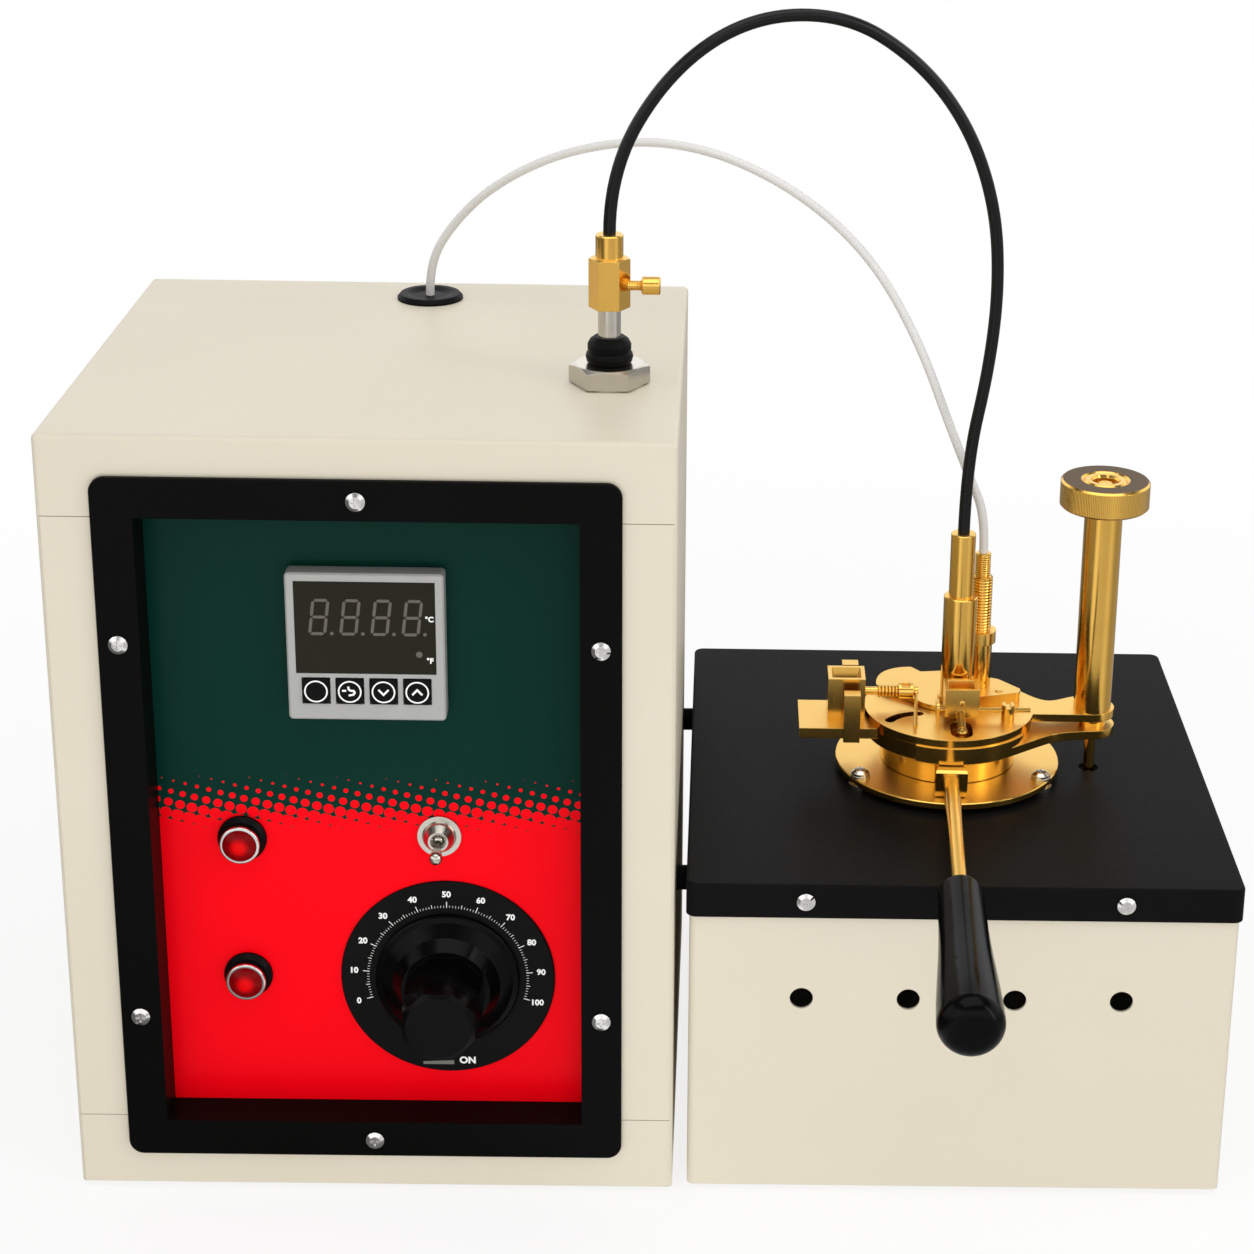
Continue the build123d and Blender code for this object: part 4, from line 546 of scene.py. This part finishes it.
# nickel plate over brushed brass, on the toggle switch: softer and warmer than the chrome
nickel = {"colour": "#C6C1B8", "second": "#B9B4AA", "metallic": 1.0,
          "roughness": (0.17, 0.24), "grain": 1.5, "depth": 0.002, "cloud": 5.0, "edge": 0.25}
# free-cutting steel, turned: pale grey with tool rings, drawn coarser than real so that they show
steel = {"colour": "#C9C5BC", "second": "#B9B3A8", "metallic": 1.0,
         "roughness": (0.20, 0.26), "grain": 0.55, "depth": 0.001, "cloud": 9.0, "edge": 0.3}
# grey cast iron blackened by heat: open sand-cast skin
castIron = {"colour": "#24211F", "second": "#332A24", "ior": 1.5,
            "roughness": (0.6, 0.8), "grain": 1.6, "depth": 0.12, "cloud": 14.0}
# brass bar, turned and polished: rings 0.1 mm apart in the real part, drawn at 0.5 mm so that they show; its
# upward faces take a lighter painted colour, painted light from above
turnedBrass = {"colour": "#E8BA60", "second": "#DAAA4C", "metallic": 1.0,
               "roughness": (0.11, 0.19), "flat": 0.20, "flatColour": "#EAC066", "grain": 0.5,
               "depth": 0.002, "cloud": 16.0, "edge": 0.4}
# brass plate, milled and rubbed down with fine paper: straight grain, a softer sheen; its upward faces take a
# lighter painted colour, painted light from above
# its scratches are drawn 0.25 mm wide and 30 times as long, coarser than real, so that they show
milledBrass = {"colour": "#E6B860", "second": "#D8AA50", "metallic": 1.0,
               "roughness": (0.17, 0.26), "flat": 0.16, "flatColour": "#EAC068", "grain": 0.25,
               "stroke": 30.0, "depth": 0.0015, "cloud": 14.0, "edge": 0.4}

cupAxis = middle("base_flange")
columnAxis = middle("column_tube")
stirrerAxis = middle("stirrer_tube")
sensorAxis = middle("sensor_ferrule")
driveAxis = middle("steel_sleeve")

dress(evenSurface("creamPowderCoat", creamCoat), "cabinet_cover", "cabinet_base", "front_fascia",
      "back_panel", "heater_body")
dress(evenSurface("blackPowderCoat", blackCoat), "heater_cover", "link_bolts")
dress(evenSurface("blackStovingEnamel", blackEnamel), "bezel_frame")
dress(evenSurface("mouldedBlackNylon", blackNylon), "mains_inlet", "lamp_bodies", "regulator_body",
      *[f"controller_key_{number}" for number in range(1, 5)])
dress(evenSurface("silverMouldedAbs", silverCase), "controller_case")
dress(evenSurface("etchedScalePlate", scalePlate), "dial_plate")
dress(evenSurface("mouldedPhenolic", phenolic), "dial_knob", "handle_grip")
dress(evenSurface("mouldedRubber", rubber), "rubber_feet", "cable_grommet", "rubber_boot")
dress(evenSurface("chromePlate", chrome), "lamp_rims", "panel_screws")
dress(evenSurface("satinNickel", nickel), "toggle_switch", "toggle_lever")
dress(evenSurface("sandCastIron", castIron), "air_bath")
dress(turnedMetal("turnedSteelDrive", steel, driveAxis), "gland_nut", "steel_sleeve", "motor_shaft",
      "stirrer_motor")
dress(turnedMetal("turnedSteelCup", steel, cupAxis), "heater_band", "flange_screws", "stirrer_shaft",
      "sensor_probe")
dress(turnedMetal("turnedSteelDial", steel, middle("dial_shaft"), (0, 1, 0)), "dial_shaft")
dress(turnedMetal("turnedBrassCup", turnedBrass, cupAxis), "base_flange", "test_cup", "cover_rim",
      "cover_plate")
dress(turnedMetal("turnedBrassColumn", turnedBrass, columnAxis), "column_tube", "spindle_rod")
dress(addKnobMarks(turnedMetal("knurledBrassKnob", turnedBrass, columnAxis), columnAxis), "spindle_knob")
dress(turnedMetal("turnedBrassStirrer", turnedBrass, stirrerAxis), "stirrer_tube")
dress(turnedMetal("turnedBrassSensor", turnedBrass, sensorAxis), "sensor_ferrule")
dress(turnedMetal("turnedBrassDrive", turnedBrass, driveAxis), "drive_coupling")
dress(turnedMetal("turnedBrassClamp", turnedBrass, middle("clamp_screw"), (1, 0, 0)), "clamp_screw")
dress(turnedMetal("turnedBrassHandle", turnedBrass, middle("handle_rod"), (0, 1, 0)), "handle_rod")
dress(turnedMetal("turnedBrassPilot", turnedBrass, middle("pilot_shaft"), (1, 0, 0)), "pilot_shaft")
dress(milledMetal("milledBrassAlong", milledBrass, (1, 0, 0)), "pilot_bar", "carrier_plate", "shutter_plate")
dress(milledMetal("milledBrassUpright", milledBrass, (0, 0, 1)), "pivot_post")
dress(addSoot(milledMetal("brownSlopedBrassUpright", milledBrass, (0, 0, 1))), "flame_box", "pilot_box")

sheathMaterial = evenSurface("extrudedPvcSheath", pvcSheath)
siliconeMaterial = evenSurface("siliconeSleeve", silicone)
for piece in shaftPieces:
    dressPiece(piece, sheathMaterial)
for piece in leadPieces:
    dressPiece(piece, siliconeMaterial)
print("metals, coats and mouldings dressed")

panelPrint = {
    # screen-printed polyester panel: green ink above, red ink below, and a band of red dots between them
    "colour": "#FC0214", "green": "#042F26", "ior": 1.55, "specular": 0.045, "roughness": (0.22, 0.30),
    "grain": 1.5, "depth": 0.004,
    "pitch": 5.6, "slope": 15.0,             # dot lattice in millimetres and degrees, falling to the right
    "bandTop": 212.0, "bandBottom": 181.0,   # heights where the red dots start and where they have closed up
    "fullDot": 0.78,                         # dot radius in pitches where the corners between dots close
}


def printedPanel():
    material, tree, shader = startMaterial("printedPanel", panelPrint)
    place = addNode(tree, "TexCoord").outputs["Object"]
    angle = math.radians(panelPrint["slope"])
    pitch = panelPrint["pitch"] * mm
    # lattice coordinates: the first runs along a row of dots, the second up the rows
    rowway = addNode(tree, "VectorMath", {0: place, 1: (math.cos(angle), 0, -math.sin(angle))},
                     operation="DOT_PRODUCT").outputs["Value"]
    upway = addNode(tree, "VectorMath", {0: place, 1: (math.sin(angle), 0, math.cos(angle))},
                    operation="DOT_PRODUCT").outputs["Value"]
    spot = addNode(tree, "CombineXYZ", {"X": rowway, "Z": upway}).outputs[0]
    cell = addNode(tree, "VectorMath", {0: spot, 1: (pitch, 1.0, pitch)}, operation="DIVIDE").outputs[0]
    corner = addNode(tree, "VectorMath", {0: cell}, operation="FLOOR").outputs[0]
    centre = addNode(tree, "VectorMath", {0: corner, 1: (0.5, 0, 0.5)}, operation="ADD").outputs[0]
    offset = addNode(tree, "VectorMath", {0: cell, 1: centre}, operation="DISTANCE").outputs["Value"]
    # height of the dot's own centre sets its size, so that each dot stays round
    upright = (-math.sin(angle) * pitch, 0, math.cos(angle) * pitch)
    height = addNode(tree, "VectorMath", {0: centre, 1: upright}, operation="DOT_PRODUCT").outputs["Value"]
    size = addNode(tree, "MapRange", {"Value": height, "From Min": panelPrint["bandTop"] * mm,
                                      "From Max": panelPrint["bandBottom"] * mm,
                                      "To Min": 0.0, "To Max": panelPrint["fullDot"]}).outputs[0]
    inside = addNode(tree, "Math", {0: offset, 1: size}, operation="LESS_THAN").outputs[0]
    ink = addNode(tree, "Mix", {"Factor": inside, 6: linear(panelPrint["green"]),
                                7: linear(panelPrint["colour"])}, data_type="RGBA")
    tree.links.new(ink.outputs[2], shader.inputs["Base Color"])
    grain = addNode(tree, "TexNoise", {"Vector": place, "Scale": perMetre(panelPrint["grain"]),
                                       "Detail": 2.0}).outputs["Fac"]
    low, high = panelPrint["roughness"]
    gloss = addNode(tree, "MapRange", {"Value": grain, "To Min": low, "To Max": high})
    relief = addNode(tree, "Bump", {"Height": grain, "Distance": panelPrint["depth"] * mm})
    tree.links.new(gloss.outputs[0], shader.inputs["Roughness"])
    tree.links.new(relief.outputs[0], shader.inputs["Normal"])
    return material


dress(printedPanel(), "control_panel")

lens = {
    # clear red acrylic dome, moulded and drawn solid: a painted glow makes it bright at the core and painted
    # shade makes it dark at its rim, in place of the light that passes through the dome
    "colour": "#E0060A", "rim": "#7A0206", "ior": 1.49, "specular": 0.07,
    "paintedGlowRadius": 1.6, "edge": 5.6,                            # millimetres from its axis: where the painted glow is brightest, where the painted shade is darkest
    "grain": 1.8, "depth": 0.05, "roughness": 0.07,      # facets moulded inside it that break up the light
}


def redLens():
    material, tree, shader = startMaterial("mouldedRedAcrylic", lens)
    place = addNode(tree, "TexCoord").outputs["Object"]
    low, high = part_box("lamp_lenses")
    radius = (high[0] - low[0]) / 2
    axes = [((low[0] + high[0]) / 2, 0, height) for height in (low[2] + radius, high[2] - radius)]
    flat = addNode(tree, "VectorMath", {0: place, 1: (1, 0, 1)}, operation="MULTIPLY").outputs[0]
    nearest = [addNode(tree, "VectorMath", {0: flat, 1: axis}, operation="DISTANCE").outputs["Value"]
               for axis in axes]
    away = addNode(tree, "Math", {0: nearest[0], 1: nearest[1]}, operation="MINIMUM").outputs[0]
    # painted glow at the core fading to painted shade at the rim
    paintedGlowFade = addNode(tree, "MapRange", {"Value": away, "From Min": lens["paintedGlowRadius"] * mm,
                                      "From Max": lens["edge"] * mm},
                   interpolation_type="SMOOTHSTEP").outputs[0]
    tint = addNode(tree, "Mix", {"Factor": paintedGlowFade, 6: linear(lens["colour"]), 7: linear(lens["rim"])},
                   data_type="RGBA")
    facets = addNode(tree, "TexVoronoi", {"Vector": place, "Scale": perMetre(lens["grain"])})
    relief = addNode(tree, "Bump", {"Height": facets.outputs["Distance"], "Distance": lens["depth"] * mm})
    tree.links.new(tint.outputs[2], shader.inputs["Base Color"])
    tree.links.new(relief.outputs[0], shader.inputs["Normal"])
    shader.inputs["Roughness"].default_value = lens["roughness"]
    return material


dress(redLens(), "lamp_lenses")

# smoked acrylic pane, cast and polished: almost black, with a clean hard reflection
smokedPane = {"colour": "#252319", "second": "#211F17", "ior": 1.49, "specular": 0.08,
              "roughness": (0.07, 0.11), "grain": 5.0, "depth": 0.003, "cloud": 25.0}
# white screen-printing ink: matt, with the fine mottle that the screen leaves
whiteInk = {"colour": "#FBFBF8", "second": "#F3F3EF", "ior": 1.48,
            "roughness": (0.45, 0.6), "grain": 0.3, "depth": 0.01, "cloud": 5.0}
# segments of a dark numeric display behind the pane: dull grey-brown resin
unlitSegment = {"colour": "#5F5A4E", "second": "#544F44", "ior": 1.5,
                "roughness": (0.35, 0.5), "grain": 0.8, "depth": 0.01, "cloud": 4.0}
# light grey screen-printing ink of the bar beside ON
greyInk = {"colour": "#77756F", "second": "#6C6A64", "ior": 1.48,
           "roughness": (0.45, 0.6), "grain": 0.3, "depth": 0.01, "cloud": 5.0}

dress(evenSurface("smokedAcrylic", smokedPane), "controller_window")
whiteInkMaterial = evenSurface("whiteScreenInk", whiteInk)
segmentMaterial = evenSurface("unlitSegmentResin", unlitSegment)
greyInkMaterial = evenSurface("greyScreenInk", greyInk)

inkDepth = 0.05       # millimetres that printed ink stands above its ground
letterWeight = 0.04   # share of its size by which the font's outlines are thickened
mitreLimit = 0.5      # a mitre reaches no further than the pen's width divided by this


def addPrint(name, node, shapes, material, body="housing"):
    # ink on a node's front, from flat shapes whose corners run anticlockwise
    # a corner is (x, z) in millimetres from the node's middle, and shapes that share corners become one
    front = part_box(node)[0][1]
    centre = middle(node)
    spots, outlines = {}, []
    for shape in shapes:
        outlines.append([spots.setdefault(spot, len(spots)) for spot in shape])
    corners = [(centre.x + x * mm, front - rise * mm, centre.z + z * mm)
               for rise in (inkDepth, 0) for x, z in spots]
    ground = len(spots)
    edges = {edge for outline in outlines for edge in zip(outline, outline[1:] + outline[:1])}
    faces = outlines + [[corner + ground for corner in reversed(outline)] for outline in outlines]
    faces += [(b, a, a + ground, b + ground) for a, b in sorted(edges) if (b, a) not in edges]
    dressPiece(addMesh(name, corners, faces), material, body)


def textShapes(words, height, centre):
    # outlines of a short text of this cap height, centred on (x, z)
    curve = bpy.data.curves.new(words, "FONT")
    curve.body = words
    curve.offset = letterWeight
    curve.resolution_u = 3
    holder = addObject(words, curve)
    flat = bpy.data.meshes.new_from_object(holder)
    bpy.data.objects.remove(holder)
    xs, ys = zip(*(vertex.co.to_2d() for vertex in flat.vertices))
    scale = height / (max(ys) - min(ys))
    middleX, middleY = (min(xs) + max(xs)) / 2, (min(ys) + max(ys)) / 2
    return [[(centre[0] + (xs[i] - middleX) * scale, centre[1] + (ys[i] - middleY) * scale)
             for i in face.vertices] for face in flat.polygons]


def ringShape(outer, inner, steps=40):
    # a ring as quads that share their corners
    turns = [2 * math.pi * step / steps for step in range(steps)] + [0.0]
    edge = [(math.cos(turn), math.sin(turn)) for turn in turns]
    return [[(inner * a[0], inner * a[1]), (outer * a[0], outer * a[1]),
             (outer * b[0], outer * b[1]), (inner * b[0], inner * b[1])] for a, b in zip(edge, edge[1:])]


def discShape(x, z, radius, steps=20):
    turns = [2 * math.pi * step / steps for step in range(steps)]
    return [[(x + radius * math.cos(turn), z + radius * math.sin(turn)) for turn in turns]]


def strokeShape(points, width):
    # a pen stroke along points, mitred where it turns
    line = [Vector(point) for point in points]
    sides = []
    for index, here in enumerate(line):
        before = (here - line[index - 1]).normalized() if index else None
        after = (line[index + 1] - here).normalized() if index + 1 < len(line) else None
        leg = after or before
        along = ((before or after) + leg).normalized()
        reach = width / 2 / max(mitreLimit, along.dot(leg))
        normal = Vector((-along.y, along.x))
        sides.append((tuple(here + normal * reach), tuple(here - normal * reach)))
    return [[a[0], a[1], b[1], b[0]] for a, b in zip(sides, sides[1:])]


# printed marks: places and sizes in millimetres, from the middle of what they are printed on
dialScale = {
    "tickStart": 37.5, "tickEnds": (38.6, 39.4, 40.6),   # radii where the ticks of 1, 5 and 10 steps end
    "tickWidths": (0.2, 0.26, 0.36),
    "firstAngle": 196.5, "perTen": 21.3,                 # degrees, going clockwise; 50 is at the top
    "numberRadius": 44.6, "numberHeight": 3.3,
    "onPlace": (8.6, -44.6), "onHeight": 3.9,
    "barXs": (-12.8, 2.1), "barZs": (-47.0, -44.8),
}


def addDialScale():
    shapes = []
    for step in range(101):
        angle = math.radians(dialScale["firstAngle"] - step * dialScale["perTen"] / 10)
        kind = 2 if step % 10 == 0 else 1 if step % 5 == 0 else 0
        along = Vector((math.cos(angle), math.sin(angle)))
        side = Vector((-along.y, along.x)) * dialScale["tickWidths"][kind] / 2
        inner, outer = along * dialScale["tickStart"], along * dialScale["tickEnds"][kind]
        shapes.append([tuple(corner) for corner in (inner - side, outer - side, outer + side, inner + side)])
        if step % 10 == 0:
            shapes += textShapes(str(step), dialScale["numberHeight"], along * dialScale["numberRadius"])
    shapes += textShapes("ON", dialScale["onHeight"], dialScale["onPlace"])
    addPrint("dial_scale_print", "dial_plate", shapes, whiteInkMaterial)
    left, right = dialScale["barXs"]
    bottom, top = dialScale["barZs"]
    bar = [(left, bottom), (right, bottom), (right, top), (left, (bottom + 2 * top) / 3)]
    addPrint("dial_bar_print", "dial_plate", [bar], greyInkMaterial)


display = {
    "digitHeight": 17.7, "digitWidth": 8.2, "stroke": 1.4, "gap": 0.3, "lean": 7.0,    # lean in degrees
    "digitXs": (-20.8, -6.7, 7.4, 21.5), "digitZ": 5.05,
    "pointRadius": 0.85, "pointX": 5.6, "pointZ": -8.0,      # from the middle of its digit
    "lampRadius": 1.5, "lampPlace": (24.3, -12.8),
    "unitHeight": 2.9, "unitX": 29.2, "unitZs": {"°C": 4.6, "°F": -15.7},
}


def digitShapes(x, z):
    # seven unlit bars of one leaning figure
    halfWidth = (display["digitWidth"] - display["stroke"]) / 2
    halfHeight = (display["digitHeight"] - display["stroke"]) / 2
    lean = math.tan(math.radians(display["lean"]))
    half, gap = display["stroke"] / 2, display["gap"]
    bars = [((-halfWidth, level), (halfWidth, level)) for level in (-halfHeight, 0, halfHeight)]
    bars += [((side, start), (side, stop)) for side in (-halfWidth, halfWidth)
             for start, stop in ((-halfHeight, 0), (0, halfHeight))]
    shapes = []
    for start, stop in bars:
        start, stop = Vector(start), Vector(stop)
        along = (stop - start).normalized()
        side = Vector((-along.y, along.x)) * half
        start, stop = start + along * gap, stop - along * gap
        outline = [start, start + along * half - side, stop - along * half - side, stop,
                   stop - along * half + side, start + along * half + side]
        shapes.append([(x + p.x + p.y * lean, z + p.y) for p in outline])
    return shapes


def addDisplay():
    figures = []
    for x in display["digitXs"]:
        figures += digitShapes(x, display["digitZ"])
        figures += discShape(x + display["pointX"], display["digitZ"] + display["pointZ"],
                             display["pointRadius"])
    figures += discShape(*display["lampPlace"], display["lampRadius"])
    addPrint("display_figures", "controller_window", figures, segmentMaterial)
    units = []
    for words, z in display["unitZs"].items():
        units += textShapes(words, display["unitHeight"], (display["unitX"], z))
    addPrint("display_units", "controller_window", units, whiteInkMaterial)


keyIcons = {
    "ring": (5.4, 4.7), "stroke": 0.95,    # radii of the ring, width of the pen
    "strokes": [                           # pen strokes of each key's sign: none, back, down and up
        [],
        [[(-3.5, 0.5), (-1.6, 0.5)],
         [(-0.6, 2.6), (-0.5, 1.3), (0.3, 0.6), (1.8, 0.5), (2.3, -0.4), (1.6, -1.4), (-0.5, -1.8)]],
        [[(-2.3, 1.2), (0, -1.3), (2.3, 1.2)]],
        [[(-2.3, -1.2), (0, 1.3), (2.3, -1.2)]],
    ],
}


def addKeyIcons():
    for number, strokes in enumerate(keyIcons["strokes"], start=1):
        shapes = ringShape(*keyIcons["ring"])
        for points in strokes:
            shapes += strokeShape(points, keyIcons["stroke"])
        key = f"key_{number}"
        addPrint(f"{key}_print", f"controller_{key}", shapes, whiteInkMaterial, key)


addDialScale()
addDisplay()
addKeyIcons()
print("panel printed")


def turnedCorners(start, along, rows):
    # rings of corners about an axis: each row gives its height and its corners' radii, in millimetres
    across = along.orthogonal().normalized()
    other = along.cross(across)
    corners = []
    for height, radii in rows:
        for side, radius in enumerate(radii):
            turn = 2 * math.pi * side / len(radii)
            outward = across * math.cos(turn) + other * math.sin(turn)
            corners.append(start + (along * height + outward * radius) * mm)
    return corners


def thread(name, start, stop, shape, sides=28, steps=6):
    # a screw thread between two points: a closed sleeve with steps rows a pitch, whose outside climbs
    # one pitch a turn
    start, stop = Vector(start), Vector(stop)
    radius, pitch, depth = (shape[key] for key in ("radius", "pitch", "depth"))
    length = (stop - start).length / mm
    count = round(length / pitch * steps)
    inside = [radius - depth] * sides
    rows = [(0.0, inside)]
    for row in range(count + 1):
        height = length * row / count
        phases = [(height / pitch + side / sides) % 1 for side in range(sides)]
        rows.append((height, [radius + depth * (1 - abs(2 * phase - 1)) for phase in phases]))
    rows.append((length, inside))
    corners = turnedCorners(start, (stop - start).normalized(), rows)
    piece = addMesh(name, corners, bands(len(rows), sides, closed=True))
    piece.data.validate()
    return piece


# threads in millimetres, drawn coarser than the real ones so that they show
# the first two run up from the table, the third out from the drive's axis
sensorThread = {"from": 235.8, "to": 264.7, "radius": 5.1, "pitch": 1.6, "depth": 0.45}
tipThread = {"from": 265.4, "to": 276.9, "radius": 3.7, "pitch": 1.2, "depth": 0.35}
clampThread = {"from": 8.6, "to": 14.9, "radius": 2.2, "pitch": 0.8, "depth": 0.25}


def addThreads():
    for name, shape in (("sensor_thread", sensorThread), ("tip_thread", tipThread)):
        ends = [(sensorAxis.x, sensorAxis.y, shape[key] * mm) for key in ("from", "to")]
        dressPiece(thread(name, *ends, shape), bpy.data.materials["turnedBrassSensor"], "cover")
    screw = middle("clamp_screw")
    ends = [(driveAxis.x + clampThread[key] * mm, screw.y, screw.z) for key in ("from", "to")]
    dressPiece(thread("clamp_thread", *ends, clampThread), bpy.data.materials["turnedBrassClamp"],
               "thumbscrew")


addThreads()
print("threads cut")

# domed heads: the middle of the seat in metres, radius and height in millimetres
burnerRivet = {"body": "burner", "seat": (0.1498, 0.0305, 0.2107), "direction": (0, -1, 0),
               "radius": 1.5, "height": 0.5}
carrierRivet = {"body": "cover", "seat": (0.1710, 0.0590, 0.2055), "direction": (0, 0, 1),
                "radius": 2.1, "height": 0.6}
rivetSink = 0.1         # millimetres that a head goes into its seat
rivetShoulder = 0.3     # share of a head's height that is straight before the dome starts


def rivet(name, head, sides=24, steps=5):
    # a low domed head on a short straight shoulder, closed at both ends
    seat, along = Vector(head["seat"]), Vector(head["direction"])
    radius, height = head["radius"], head["height"]
    shoulder = height * rivetShoulder
    rows = [(-rivetSink, [radius] * sides), (shoulder, [radius] * sides)]
    for step in range(1, steps):
        angle = math.pi / 2 * step / steps
        rows.append((shoulder + (height - shoulder) * math.sin(angle), [radius * math.cos(angle)] * sides))
    corners = turnedCorners(seat, along, rows)
    corners.append(seat + along * height * mm)
    top = len(corners) - 1
    faces = bands(len(rows), sides)
    faces += [(top - sides + side, top - sides + (side + 1) % sides, top) for side in range(sides)]
    faces.append(tuple(reversed(range(sides))))
    piece = addMesh(name, corners, faces)
    piece.data.polygons.foreach_set("use_smooth", [len(face) < 5 and min(face) >= sides for face in faces])
    return piece


for name, head in (("burner_rivet", burnerRivet), ("carrier_rivet", carrierRivet)):
    dressPiece(rivet(name, head), bpy.data.materials["milledBrassAlong"], head["body"])
print("rivets set")
